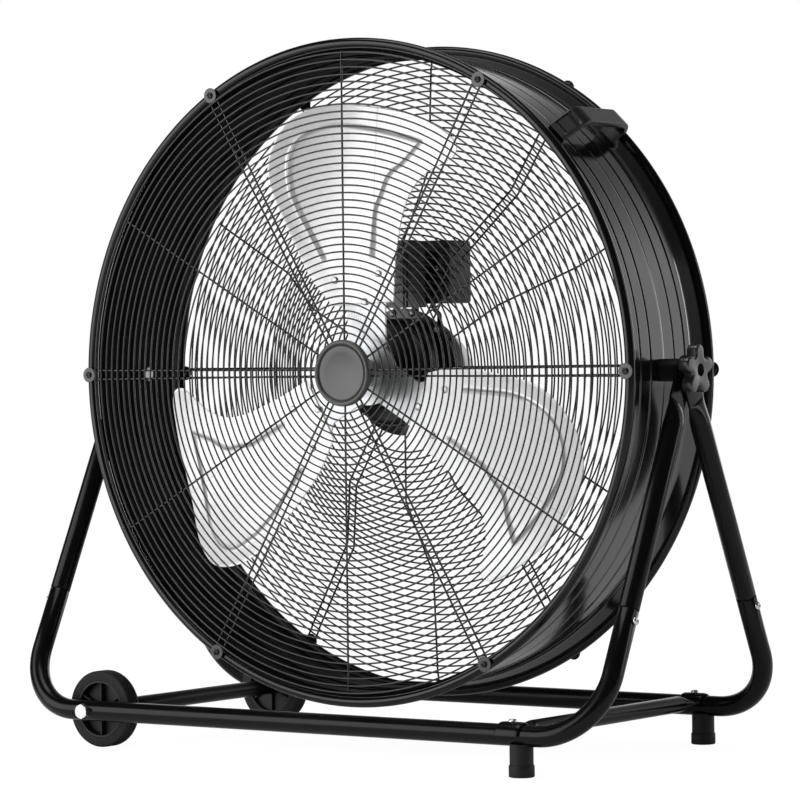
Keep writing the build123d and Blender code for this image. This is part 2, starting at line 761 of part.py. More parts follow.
with BuildPart() as front_hub_cap:
    with BuildSketch(radial_plane):
        with BuildLine():
            skirt = Line((cap_radius, cap_base), (cap_radius, cap_front + cap_bead))
            bead = ThreePointArc(
                skirt @ 1,
                (cap_radius - cap_bead, cap_front),
                (cap_radius - 2 * cap_bead, cap_front + cap_bead / 2),
            )
            dish = Line(bead @ 1, (0, cap_front + cap_dish))
            Line(dish @ 1, (0, cap_front + cap_dish + hub_cap_wall))
            Polyline(
                (0, cap_front + cap_dish + hub_cap_wall),
                (cap_radius - 2 * cap_bead, cap_front + cap_bead / 2 + hub_cap_wall),
                (cap_radius - hub_cap_wall, cap_front + cap_bead + hub_cap_wall),
                (cap_radius - hub_cap_wall, cap_base),
                (cap_radius, cap_base),
            )
        make_face()
    revolve(axis=fan_axis)
    with BuildSketch(front_plane(hub_plate_front + hub_plate_thickness + 1)):
        with PolarLocations(cap_post_radius, 3, start_angle=post_angles):
            Circle(cap_post_diameter / 2)
    extrude(amount=hub_plate_front + hub_plate_thickness + 1 - cap_front - cap_dish - hub_cap_wall / 2)
write_piece(front_hub_cap, "front_hub_cap")

with BuildPart() as guard_washers:
    with BuildSketch(front_plane(-washer_depth)):
        with PolarLocations(guard_screw_radius, guard_screw_count):
            Circle(washer_diameter / 2)
            Circle(guard_screw_diameter / 2 + hole_clearance, mode=Mode.SUBTRACT)
    extrude(amount=washer_thickness)
    mirror(about=Plane.XZ)
write_piece(guard_washers, "guard_washers")

guard_screw_head_height = 2.6
with BuildPart() as guard_screws:
    with BuildSketch(front_plane(-screw_head_depth)):
        with PolarLocations(guard_screw_radius, guard_screw_count):
            Circle(guard_screw_head / 2)
    extrude(amount=guard_screw_head_height)
    fillet(guard_screws.edges().group_by(Axis.Y)[0], 1.0)
    with BuildSketch(front_plane(-rim_depth)):
        with PolarLocations(guard_screw_radius, guard_screw_count):
            Circle(guard_screw_diameter / 2)
    extrude(amount=screw_head_depth - rim_depth + 1)
    mirror(about=Plane.XZ)
write_piece(guard_screws, "guard_screws")

rear_line = Polyline(*rear_outline)
rear_start = guard_screw_radius - outer_ring_radius
rear_run = rear_line.length - (rear_ring_inner - rear_outline[-1][0]) - rear_start
rear_ring_count = int(rear_run / rear_ring_pitch) + 1

with BuildPart() as rear_guard_rings:
    with BuildSketch(radial_plane):
        for index in range(rear_ring_count):
            reach = rear_start + index * rear_ring_pitch
            place = rear_line.position_at(reach, position_mode=PositionMode.LENGTH)
            heading = rear_line.tangent_at(reach, position_mode=PositionMode.LENGTH)
            with Locations((place.X + heading.Y * ring_stand_off, place.Y - heading.X * ring_stand_off)):
                ring_section(degrees(atan2(heading.Y, heading.X)))
    revolve(axis=fan_axis)
write_piece(rear_guard_rings, "rear_guard_rings")


def rear_leg_points(offset):
    """Local points of one rear spoke wire, from the hub outwards, beside its radial line."""
    return [(radius, offset, -depth) for radius, depth in reversed(rear_outline)]


with BuildPart() as rear_guard_spokes:
    for angle in double_angles:
        with BuildLine(spoke_plane(angle)) as spoke:
            FilletPolyline(*rear_leg_points(hairpin_half_rim), radius=wire_bend)
            ThreePointArc(
                (guard_screw_radius, hairpin_half_rim, -spoke_depth),
                (guard_screw_radius + hairpin_half_rim, 0, -spoke_depth),
                (guard_screw_radius, -hairpin_half_rim, -spoke_depth),
            )
            FilletPolyline(*reversed(rear_leg_points(-hairpin_half_rim)), radius=wire_bend)
        with BuildSketch(Plane(spoke.line @ 0, z_dir=spoke.line % 0)):
            Circle(spoke_radius)
        sweep(path=spoke.line)
    for angle in single_angles:
        with BuildLine(spoke_plane(angle)) as spoke:
            single_points = [(outer_ring_radius + 2, 0, -spoke_depth)] + rear_leg_points(0)[-2::-1]
            FilletPolyline(*single_points, radius=wire_bend)
        with BuildSketch(Plane(spoke.line @ 0, z_dir=spoke.line % 0)):
            Circle(spoke_radius)
        sweep(path=spoke.line)
write_piece(rear_guard_spokes, "rear_guard_spokes")

# ---- Carry handle -----------------------------------------------------------------------------

with BuildPart() as carry_handle:
    grip_middle = handle_height - handle_thickness / 2
    strap_start = -handle_thickness
    handle_wall = wall_plane(handle_angle, 0, barrel_radius)
    strap_plane = Plane(origin=handle_wall.origin, x_dir=handle_wall.x_dir, z_dir=-handle_wall.y_dir)
    front_slope = (handle_grip[0] - handle_feet[0]) / grip_middle
    back_slope = (handle_grip[1] - handle_feet[1]) / grip_middle
    with BuildLine(strap_plane) as strap:
        FilletPolyline(
            (handle_feet[0] + strap_start * front_slope, strap_start),
            (handle_grip[0], grip_middle),
            (handle_grip[1], grip_middle),
            (handle_feet[1] + strap_start * back_slope, strap_start),
            radius=handle_bends,
        )
    with BuildSketch(Plane(strap.line @ 0, x_dir=strap_plane.z_dir, z_dir=strap.line % 0)):
        RectangleRounded(handle_width, handle_thickness, 1.5)
    sweep(path=strap.line)
    with BuildSketch(front_plane(0)):
        Circle(barrel_radius + seat_gap)
    extrude(amount=flare_depth, both=True, mode=Mode.SUBTRACT)
    for depth in handle_screw_depths:
        with BuildSketch(wall_plane(handle_angle, depth, barrel_radius)):
            Circle(handle_screw_diameter / 2 + seat_gap)
        extrude(amount=handle_screw_reach + 1, mode=Mode.SUBTRACT)
write_piece(carry_handle, "carry_handle")

handle_screw_head = 3.0
with BuildPart() as handle_screws:
    inner_face = barrel_inner_radius - groove_sink - seat_gap
    for depth in handle_screw_depths:
        with BuildSketch(wall_plane(handle_angle, depth, inner_face - handle_screw_head)):
            Circle(handle_screw_diameter)
        extrude(amount=handle_screw_head)
        with BuildSketch(wall_plane(handle_angle, depth, inner_face - 1)):
            Circle(handle_screw_diameter / 2)
        extrude(amount=barrel_radius + handle_screw_reach + 1 - inner_face)
write_piece(handle_screws, "handle_screws")

# ---- Pivot studs, spacers and tilt knobs ------------------------------------------------------

head_corner = stud_head_across_flats / sqrt(3)
stud_seat = sqrt((barrel_inner_radius - groove_sink) ** 2 - head_corner**2) - seat_gap
sides = ((1, "right"), (-1, "left"))

with BuildPart() as pivot_studs:
    for facing, side_name in sides:
        with BuildSketch(side_plane(facing * (stud_seat - 1), facing)):
            Circle(stud_radius)
        extrude(amount=knob_x + knob_bore_depth - 1 - stud_seat)
        with BuildSketch(side_plane(facing * stud_seat, facing)):
            RegularPolygon(stud_head_across_flats / 2, 6, major_radius=False)
        extrude(amount=-stud_head_height)
write_piece(pivot_studs, "pivot_studs")

with BuildPart() as pivot_spacers:
    for facing, side_name in sides:
        with BuildSketch(side_plane(facing * (barrel_radius + seat_gap), facing)):
            Circle(spacer_diameter / 2)
            Circle(stud_radius + hole_clearance, mode=Mode.SUBTRACT)
        extrude(amount=leg_offset - pad_thickness - barrel_radius - 2 * seat_gap)
write_piece(pivot_spacers, "pivot_spacers")

with BuildPart() as pivot_washers:
    for facing, side_name in sides:
        with BuildSketch(side_plane(facing * washer_x, facing)):
            Circle(knob_washer_diameter / 2)
            Circle(stud_radius + hole_clearance, mode=Mode.SUBTRACT)
        extrude(amount=knob_washer_thickness)
write_piece(pivot_washers, "pivot_washers")

for facing, side_name in sides:
    with BuildPart() as tilt_knob:
        with BuildSketch(side_plane(facing * knob_x, facing)) as knob_outline:
            Circle(knob_core_radius)
            with PolarLocations(knob_lobe_circle, knob_lobe_count, start_angle=90):
                Circle(knob_lobe_radius)
            fillet(knob_outline.vertices(), knob_valley_fillet)
        extrude(amount=knob_length)
        fillet(tilt_knob.edges().filter_by(Plane.YZ), knob_edge_fillet)
        with BuildSketch(side_plane(facing * (knob_x + knob_length), facing)):
            Circle(knob_recess_diameter / 2)
        extrude(amount=-knob_recess_depth, mode=Mode.SUBTRACT)
        with BuildSketch(side_plane(facing * knob_x, facing)):
            Circle(stud_radius + running_fit)
        extrude(amount=knob_bore_depth, mode=Mode.SUBTRACT)
    write_piece(tilt_knob, f"{side_name}_tilt_knob")

# ---- Motor ------------------------------------------------------------------------------------

mount_plate_back = rear_outline[-1][1] - spoke_radius - seat_gap
mount_plate_front = mount_plate_back - mount_plate_thickness
bracket_screw_points = [(-bracket_screw_x, bracket_screw_z), (bracket_screw_x, bracket_screw_z)]
bearing_seat_radius = bearing_radius + seat_gap
bearing_housing_radius = bearing_seat_radius + bearing_housing_wall
shaft_radius = shaft_diameter / 2
shaft_opening_radius = shaft_radius + shaft_opening_clearance

with BuildPart() as motor_mount_plate:
    with BuildSketch(front_plane(mount_plate_back)):
        Circle(mount_plate_outer_radius)
        Circle(mount_plate_inner_radius, mode=Mode.SUBTRACT)
        with PolarLocations(ear_circle_radius, 4, start_angle=45):
            Circle(mount_screw_diameter / 2 + hole_clearance, mode=Mode.SUBTRACT)
        with Locations(bracket_screw_points):
            Circle(mount_screw_diameter / 2 + hole_clearance, mode=Mode.SUBTRACT)
    extrude(amount=mount_plate_thickness)
write_piece(motor_mount_plate, "motor_mount_plate")

with BuildPart() as motor_front_bell:
    with BuildSketch(radial_plane):
        with BuildLine():
            Polyline(
                (shaft_opening_radius, motor_front),
                (front_bell_radius - front_bell_chamfer, motor_front),
                (front_bell_radius, motor_front + front_bell_chamfer),
                (front_bell_radius, bell_joint - seat_gap),
                (bell_bore_radius, bell_joint - seat_gap),
                (bell_bore_radius, motor_front + bell_end_wall + bell_bore_chamfer),
                (bell_bore_radius - bell_bore_chamfer, motor_front + bell_end_wall),
                (bearing_housing_radius, motor_front + bell_end_wall),
                (bearing_housing_radius, motor_front + bell_end_wall + bearing_width),
                (bearing_seat_radius, motor_front + bell_end_wall + bearing_width),
                (bearing_seat_radius, motor_front + bell_end_wall),
                (shaft_opening_radius, motor_front + bell_end_wall),
                close=True,
            )
        make_face()
    revolve(axis=fan_axis)
write_piece(motor_front_bell, "motor_front_bell")

with BuildPart() as motor_rear_bell:
    with BuildSketch(radial_plane):
        with BuildLine():
            Polyline(
                (0, motor_back),
                (rear_taper_end_radius - rear_bell_chamfer, motor_back),
                (rear_taper_end_radius, motor_back - rear_bell_chamfer),
                (rear_bell_radius, rear_taper_start),
                (rear_bell_radius, bell_joint),
                (bell_bore_radius, bell_joint),
                (bell_bore_radius, rear_taper_start),
                (rear_taper_end_radius - rear_bell_chamfer, motor_back - bell_end_wall),
                (bearing_housing_radius, motor_back - bell_end_wall),
                (bearing_housing_radius, motor_back - bell_end_wall - bearing_width),
                (bearing_seat_radius, motor_back - bell_end_wall - bearing_width),
                (bearing_seat_radius, motor_back - bell_end_wall),
                (0, motor_back - bell_end_wall),
                close=True,
            )
        make_face()
    revolve(axis=fan_axis)
    with BuildSketch(front_plane(bell_joint + ear_thickness)):
        with PolarLocations(ear_circle_radius, 4, start_angle=45):
            Circle(ear_radius)
        Circle(bell_bore_radius + 1, mode=Mode.SUBTRACT)
    extrude(amount=ear_thickness)
    with BuildSketch(front_plane(bell_joint + 4 * ear_thickness)):
        with PolarLocations(ear_circle_radius, 4, start_angle=45):
            Circle(mount_screw_diameter / 2 + hole_clearance)
    extrude(amount=4 * ear_thickness, mode=Mode.SUBTRACT)
    lead_end = lead_route[-1]
    with BuildSketch(Plane(origin=(lead_end[0], lead_end[1], hub_height + lead_end[2]))):
        Circle(lead_diameter / 2 + hole_clearance)
    extrude(amount=lead_hole_length / 2, both=True, mode=Mode.SUBTRACT)
write_piece(motor_rear_bell, "motor_rear_bell")

with BuildPart() as mount_screws:
    with BuildSketch(front_plane(mount_plate_front - seat_gap)):
        with PolarLocations(ear_circle_radius, 4, start_angle=45):
            Circle(mount_screw_diameter * 0.9)
        with Locations(bracket_screw_points):
            Circle(mount_screw_diameter * 0.9)
    extrude(amount=mount_head_height)
    fillet(mount_screws.edges().group_by(Axis.Y)[0], mount_head_fillet)
    with BuildSketch(front_plane(bell_joint + 3 * ear_thickness)):
        with PolarLocations(ear_circle_radius, 4, start_angle=45):
            Circle(mount_screw_diameter / 2)
    extrude(amount=bell_joint + 3 * ear_thickness - mount_plate_front + 1)
    with BuildSketch(front_plane(bracket_front + bracket_thickness + 4)):
        with Locations(bracket_screw_points):
            Circle(mount_screw_diameter / 2)
    extrude(amount=bracket_front + bracket_thickness + 4 - mount_plate_front + 1)
write_piece(mount_screws, "mount_screws")

stator_radius = bell_bore_radius - hole_clearance
with BuildPart() as stator_core:
    with BuildSketch(front_plane(stator_back)):
        Circle(stator_radius)
        Circle(stator_bore_radius, mode=Mode.SUBTRACT)
        slot_length = winding_outer_radius - winding_inner_radius - 4
        with PolarLocations((winding_inner_radius + winding_outer_radius) / 2, stator_slots):
            Rectangle(slot_length, 4, mode=Mode.SUBTRACT)
    extrude(amount=stator_back - stator_front)
write_piece(stator_core, "stator_core")

with BuildPart() as stator_winding:
    with BuildSketch(radial_plane):
        ring_middle = (winding_inner_radius + winding_outer_radius) / 2
        ring_width = winding_outer_radius - winding_inner_radius
        with Locations(
            (ring_middle, stator_front - seat_gap - winding_depth / 2),
            (ring_middle, stator_back + seat_gap + winding_depth / 2),
        ):
            RectangleRounded(ring_width, winding_depth, 4)
    revolve(axis=fan_axis)
write_piece(stator_winding, "stator_winding")

front_bearing = motor_front + bell_end_wall + seat_gap + bearing_width / 2
rear_bearing = motor_back - bell_end_wall - seat_gap - bearing_width / 2
bearing_race = 3.0

with BuildPart() as motor_bearings:
    with BuildSketch(radial_plane):
        bore = shaft_radius + running_fit
        middle = (bore + bearing_radius) / 2
        for depth in (front_bearing, rear_bearing):
            with Locations((middle, depth)):
                Rectangle(bearing_radius - bore, bearing_width)
            with Locations((middle, depth - bearing_width / 2), (middle, depth + bearing_width / 2)):
                Rectangle(bearing_radius - bore - 2 * bearing_race, 2, mode=Mode.SUBTRACT)
    revolve(axis=fan_axis)
write_piece(motor_bearings, "motor_bearings")

# ---- Control box ------------------------------------------------------------------------------

box_middle_z = (box_bottom + box_top) / 2
box_height = box_top - box_bottom
box_width = 2 * box_half_width
tab_back = box_front - seat_gap
box_screw_x = bracket_half_width + bracket_tab / 2
front_screw_points = [(-box_screw_x, box_screw_z), (box_screw_x, box_screw_z)]
cover_screw_points = [
    (x, z)
    for x in (-box_half_width + box_screw_inset, box_half_width - box_screw_inset)
    for z in (box_bottom + box_screw_inset, box_top - box_screw_inset)
]

with BuildPart() as box_bracket:
    plate_height = bracket_top - bracket_bottom
    plate_middle = (bracket_top + bracket_bottom) / 2
    with BuildSketch(front_plane(bracket_front + bracket_thickness)):
        with Locations((0, plate_middle)):
            Rectangle(2 * bracket_half_width, plate_height)
        with Locations([(x, (bracket_leg_bottom + plate_middle) / 2) for x, z in bracket_screw_points]):
            Rectangle(bracket_leg_width, plate_middle - bracket_leg_bottom)
    extrude(amount=bracket_thickness)
    flange_bottom = box_bottom + bracket_flange_rise
    flange_middle = (bracket_top + flange_bottom) / 2
    with BuildSketch(front_plane(tab_back)):
        with Locations(
            (-bracket_half_width + bracket_thickness / 2, flange_middle),
            (bracket_half_width - bracket_thickness / 2, flange_middle),
        ):
            Rectangle(bracket_thickness, bracket_top - flange_bottom)
    extrude(amount=tab_back - bracket_front)
    with BuildSketch(front_plane(tab_back)):
        with Locations(
            (-bracket_half_width - bracket_tab / 2, flange_middle),
            (bracket_half_width + bracket_tab / 2, flange_middle),
        ):
            Rectangle(bracket_tab + 2 * bracket_thickness, bracket_top - flange_bottom)
        with Locations(front_screw_points):
            Circle(box_screw_diameter / 2 + hole_clearance, mode=Mode.SUBTRACT)
    extrude(amount=bracket_thickness)
    with BuildSketch(front_plane(bracket_front + bracket_thickness / 2)):
        with Locations(bracket_screw_points):
            Circle(bracket_post_radius)
    extrude(amount=bracket_front + bracket_thickness / 2 - mount_plate_back - seat_gap)
    with BuildSketch(front_plane(bracket_front + 2 * bracket_thickness)):
        with Locations(bracket_screw_points):
            Circle(mount_screw_diameter / 2 + hole_clearance)
    extrude(amount=4 * bracket_thickness + bracket_front - mount_plate_back, mode=Mode.SUBTRACT)
write_piece(box_bracket, "box_bracket")

lead_start = lead_route[0]
with BuildPart() as control_box:
    with BuildSketch(front_plane(box_joint)):
        with Locations((0, box_middle_z)):
            RectangleRounded(box_width, box_height, box_corner)
    extrude(amount=box_joint - box_front)
    with BuildSketch(front_plane(box_joint)):
        with Locations((0, box_middle_z)):
            RectangleRounded(box_width - 2 * box_wall, box_height - 2 * box_wall, box_corner - box_wall)
    extrude(amount=box_joint - box_front - box_wall, mode=Mode.SUBTRACT)
    with BuildSketch(front_plane(box_joint)):
        with Locations(cover_screw_points):
            Circle(box_post_radius)
    extrude(amount=box_joint - box_front - box_wall)
    with BuildSketch(front_plane(box_joint)):
        with Locations(cover_screw_points):
            Circle(box_screw_diameter / 2)
    extrude(amount=box_thread_length, mode=Mode.SUBTRACT)
    with BuildSketch(front_plane(box_front + box_wall + 1)):
        with Locations(front_screw_points):
            Circle(box_screw_diameter / 2 + hole_clearance)
    extrude(amount=box_wall + 2, mode=Mode.SUBTRACT)
    box_floor = Plane(origin=(0, 0, hub_height + box_bottom))
    with BuildSketch(box_floor):
        with Locations((lead_start[0], lead_start[1])):
            Circle(lead_diameter / 2 + hole_clearance)
    extrude(amount=box_wall * 2, both=True, mode=Mode.SUBTRACT)
write_piece(control_box, "control_box")

cover_wall = 2.5
with BuildPart() as control_box_cover:
    with BuildSketch(front_plane(box_back)):
        with Locations((0, box_middle_z)):
            RectangleRounded(box_width, box_height, box_corner)
    extrude(amount=box_back - box_joint - seat_gap)
    with BuildSketch(front_plane(box_back - cover_wall)):
        with Locations((0, box_middle_z)):
            RectangleRounded(box_width - 2 * box_wall, box_height - 2 * box_wall, box_corner - box_wall)
        with Locations(cover_screw_points):
            Circle(box_post_radius, mode=Mode.SUBTRACT)
    extrude(amount=box_back - box_joint, mode=Mode.SUBTRACT)
    with BuildSketch(front_plane(box_back)):
        with Locations(cover_screw_points):
            Circle(box_screw_diameter / 2 + hole_clearance)
        with Locations((dial_x, dial_z)):
            Circle(spindle_diameter / 2 + 0.5)
        with Locations((gland_x, gland_z)):
            Circle(gland_diameter / 2 - gland_step)
    extrude(amount=box_back - box_joint, mode=Mode.SUBTRACT)
    fillet(control_box_cover.faces().sort_by(Axis.Y)[-1].outer_wire().edges(), box_cover_fillet)
write_piece(control_box_cover, "control_box_cover")

with BuildPart() as box_screws:
    head_radius = box_screw_diameter * 0.9
    with BuildSketch(front_plane(tab_back - bracket_thickness - seat_gap)):
        with Locations(front_screw_points):
            Circle(head_radius)
    extrude(amount=box_head_height)
    with BuildSketch(front_plane(box_front + box_wall + 4)):
        with Locations(front_screw_points):
            Circle(box_screw_diameter / 2)
    extrude(amount=box_wall + 4 + bracket_thickness + 3 * seat_gap)
    with BuildSketch(front_plane(box_back + seat_gap + box_head_height)):
        with Locations(cover_screw_points):
            Circle(head_radius)
    extrude(amount=box_head_height)
    with BuildSketch(front_plane(box_back + 1)):
        with Locations(cover_screw_points):
            Circle(box_screw_diameter / 2 - seat_gap)
    extrude(amount=18)
write_piece(box_screws, "box_screws")

switch_back = box_back - cover_wall - seat_gap
spindle_front = switch_back - switch_depth / 2
with BuildPart() as rotary_switch:
    with BuildSketch(front_plane(switch_back)):
        with Locations((dial_x, dial_z)):
            RectangleRounded(switch_size, switch_size, 3)
    extrude(amount=switch_depth)
    with BuildSketch(front_plane(switch_back)):
        with Locations((dial_x, dial_z)):
            Circle(spindle_diameter / 2 + running_fit)
    extrude(amount=switch_depth / 2 + 1, mode=Mode.SUBTRACT)
write_piece(rotary_switch, "rotary_switch")

with BuildPart() as run_capacitor:
    with BuildSketch(front_plane(box_front + box_wall + seat_gap + capacitor_size[1])):
        with Locations((capacitor_x, box_middle_z)):
            RectangleRounded(capacitor_size[0], capacitor_size[2], 3)
    extrude(amount=capacitor_size[1])
write_piece(run_capacitor, "run_capacitor")

dial_front = box_back + side_gap
with BuildPart() as switch_spindle:
    with BuildSketch(front_plane(dial_front + dial_depth * 0.6)):
        with Locations((dial_x, dial_z)):
            Circle(spindle_diameter / 2)
    extrude(amount=dial_front + dial_depth * 0.6 - spindle_front)
write_piece(switch_spindle, "switch_spindle")

with BuildPart() as speed_knob:
    with BuildSketch(front_plane(dial_front + 4)):
        with Locations((dial_x, dial_z)):
            Circle(dial_radius)
    extrude(amount=4)
    with BuildSketch(front_plane(dial_front + dial_depth)):
        with Locations((dial_x, dial_z)):
            SlotOverall(dial_diameter - 2, dial_diameter / 3, rotation=90)
            Circle(dial_radius * 0.55)
    extrude(amount=dial_depth - 1)
    with BuildSketch(front_plane(dial_front + dial_depth * 0.6 + seat_gap)):
        with Locations((dial_x, dial_z)):
            Circle(spindle_diameter / 2 + seat_gap)
    extrude(amount=dial_depth, mode=Mode.SUBTRACT)
write_piece(speed_knob, "speed_knob")

gland_plane = Plane(origin=(gland_x, box_back, hub_height + gland_z), x_dir=(1, 0, 0), z_dir=(0, -1, 0))
with BuildPart() as cord_gland:
    with BuildSketch(gland_plane.offset(-seat_gap)):
        RegularPolygon(gland_diameter / 2, 6, major_radius=False)
    extrude(amount=-gland_hex_length)
    with BuildSketch(gland_plane.offset(-gland_hex_length - seat_gap)):
        Circle(gland_diameter / 2 - 1)
    extrude(amount=-(gland_length - gland_hex_length), taper=gland_nose_taper)
    with BuildSketch(gland_plane.offset(-1)):
        Circle(gland_diameter / 2 - gland_step - hole_clearance)
    extrude(amount=1 + box_wall + gland_stem_length)
    with BuildSketch(gland_plane.offset(-gland_length - 1)):
        Circle(gland_bore / 2)
    extrude(amount=gland_length + box_wall + gland_stem_length + 2, mode=Mode.SUBTRACT)
write_piece(cord_gland, "cord_gland")

with BuildPart() as motor_lead:
    with BuildLine() as lead_path:
        FilletPolyline(*[(x, y, hub_height + z) for x, y, z in lead_route], radius=5.0)
    with BuildSketch(Plane(lead_path.line @ 0, z_dir=lead_path.line % 0)):
        Circle(lead_diameter / 2)
    sweep(path=lead_path.line)
write_piece(motor_lead, "motor_lead")

# ---- Fan --------------------------------------------------------------------------------------


def blade_surface(x, height):
    """Depth of the middle of the upright blade, and its slopes along x and height."""
    w = height - blade_reference_radius
    depth = blade_depth + blade_pitch * x + blade_sweep * w + blade_twist * x * w
    depth += -blade_camber * x**2 + blade_dish * w**2 - blade_camber_fade * x**2 * w
    slope_x = blade_pitch + blade_twist * w - 2 * blade_camber * x - 2 * blade_camber_fade * x * w
    slope_z = blade_sweep + blade_twist * x + 2 * blade_dish * w - blade_camber_fade * x**2
    return depth, slope_x, slope_z


def blade_frame(x, height, lift=0.0):
    """Plane on the upright blade, facing forwards, lifted off the middle surface."""
    depth, slope_x, slope_z = blade_surface(x, height)
    normal = Vector(slope_x, -1, slope_z).normalized()
    centre = Vector(x, depth, hub_height + height) + normal * lift
    return Plane(origin=centre, z_dir=normal)


def sheet_face(x_range, height_range, lift=0.0):
    """Curved face that follows the blade over a rectangle."""
    columns = int((x_range[1] - x_range[0]) / blade_grid_step) + 1
    rows = int((height_range[1] - height_range[0]) / blade_grid_step) + 1
    grid = []
    for column in range(columns + 1):
        x = x_range[0] + (x_range[1] - x_range[0]) * column / columns
        heights = [
            height_range[0] + (height_range[1] - height_range[0]) * row / rows for row in range(rows + 1)
        ]
        grid.append([blade_frame(x, height, lift).origin for height in heights])
    return Face.make_surface_from_array_of_points(grid)


edge_x = [point[0] for point in blade_edge]
edge_z = [point[1] for point in blade_edge]
blade_margin = 10.0
blade_face = sheet_face(
    (min(edge_x) - blade_margin, max(edge_x) + blade_margin),
    (blade_root[0][1] - blade_margin, max(edge_z) + blade_margin),
)
blade_block = 120.0  # deeper than the blade's whole depth

with BuildPart() as blade:
    thicken(blade_face, amount=blade_thickness / 2, both=True)
    with BuildSketch(front_plane(blade_depth)):
        with BuildLine():
            root = Line(*blade_root)
            Spline(root @ 1, *blade_edge, root @ 0)
        make_face()
    extrude(amount=blade_block, both=True, mode=Mode.INTERSECT)
    for place in rivet_places:
        with BuildSketch(blade_frame(*place)):
            Circle(rivet_shank_diameter / 2 + hole_clearance)
        extrude(amount=2 * blade_thickness, both=True, mode=Mode.SUBTRACT)

blade_angles = [index * 360 / blade_count for index in range(blade_count)]

for index, angle in enumerate(blade_angles):
    with BuildPart() as turned_blade:
        add(blade.part.rotate(fan_axis, angle))
    write_piece(turned_blade, f"blade_{index + 1}")

spider_lift = -(blade_thickness / 2 + seat_gap + spider_thickness / 2)
arm_x = [point[0] for point in spider_arm]
arm_z = [point[1] for point in spider_arm]
arm_face = sheet_face(
    (min(arm_x) - blade_margin, max(arm_x) + blade_margin),
    (min(arm_z) - blade_margin, max(arm_z) + blade_margin),
    spider_lift,
)

with BuildPart() as spider_arm_piece:
    thicken(arm_face, amount=spider_thickness / 2, both=True)
    with BuildSketch(front_plane(blade_depth)) as arm_outline:
        with BuildLine():
            Polyline(*spider_arm, close=True)
        make_face()
        fillet(arm_outline.vertices().group_by(Axis.Z)[1:], spider_arm_fillet)
    extrude(amount=blade_block, both=True, mode=Mode.INTERSECT)
    for place in rivet_places:
        with BuildSketch(blade_frame(*place)):
            Circle(rivet_shank_diameter / 2 + hole_clearance)
        extrude(amount=3 * spider_thickness, both=True, mode=Mode.SUBTRACT)

with BuildPart() as fan_spider:
    with BuildSketch(front_plane(spider_disc_depths[1])):
        Circle(spider_disc_radius)
    extrude(amount=spider_disc_depths[1] - spider_disc_depths[0])
    for angle in blade_angles:
        add(spider_arm_piece.part.rotate(fan_axis, angle))
    with BuildSketch(front_plane(boss_back)):
        Circle(boss_radius)
    extrude(amount=boss_back - boss_front)
    with BuildSketch(front_plane(boss_back + 1)):
        Circle(shaft_radius + seat_gap)
    extrude(amount=boss_back - boss_front + 2, mode=Mode.SUBTRACT)
    with BuildSketch(wall_plane(90, set_screw_depth, 0)):
        Circle(set_screw_diameter / 2 + seat_gap)
    extrude(amount=boss_radius + 2, mode=Mode.SUBTRACT)
write_piece(fan_spider, "fan_spider")

with BuildPart() as fan_set_screw:
    with BuildSketch(wall_plane(90, set_screw_depth, shaft_radius + seat_gap)):
        Circle(set_screw_diameter / 2)
    extrude(amount=boss_radius - shaft_radius + 2)
write_piece(fan_set_screw, "fan_set_screw")

stack_half = blade_thickness / 2 + seat_gap
with BuildPart() as upright_rivets:
    for place in rivet_places:
        back_lift = -(stack_half + spider_thickness + seat_gap)
        with BuildSketch(blade_frame(*place, lift=back_lift - rivet_head_height / 2)):
            Circle(rivet_shank_diameter / 2)
        extrude(amount=stack_half - back_lift + rivet_head_height)
        with BuildSketch(blade_frame(*place, lift=stack_half)) as head:
            Circle(rivet_head_diameter / 2)
        extrude(amount=rivet_head_height, taper=30)
        with BuildSketch(blade_frame(*place, lift=back_lift)):
            Circle(rivet_head_diameter / 2)
        extrude(amount=-rivet_head_height, taper=30)

with BuildPart() as blade_rivets:
    for angle in blade_angles:
        add(upright_rivets.part.rotate(fan_axis, angle))
write_piece(blade_rivets, "blade_rivets")

with BuildPart() as fan_shaft:
    shaft_back = rear_bearing + bearing_width / 2 - seat_gap
    with BuildSketch(front_plane(shaft_back)):
        Circle(shaft_radius)
    extrude(amount=shaft_back - shaft_front)
    chamfer(fan_shaft.edges().filter_by(GeomType.CIRCLE), 1.0)
write_piece(fan_shaft, "fan_shaft")

with BuildPart() as rotor_core:
    with BuildSketch(front_plane(stator_back)):
        Circle(stator_bore_radius - air_gap)
        Circle(shaft_radius + seat_gap, mode=Mode.SUBTRACT)
    extrude(amount=stator_back - stator_front)
write_piece(rotor_core, "rotor_core")
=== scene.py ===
"""Smooth pieces, finishes and studio for a drum fan on a wheeled tube frame.

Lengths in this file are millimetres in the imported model's frame: X right, Y to the back, Z up, with the
origin on the floor under the drum. Meshes are scaled to metres when they are made.
"""

from __future__ import annotations

import logging
import math
from dataclasses import dataclass
from enum import Enum
from typing import Sequence

import bmesh
import bpy
import numpy as np
from mathutils import Matrix, Vector

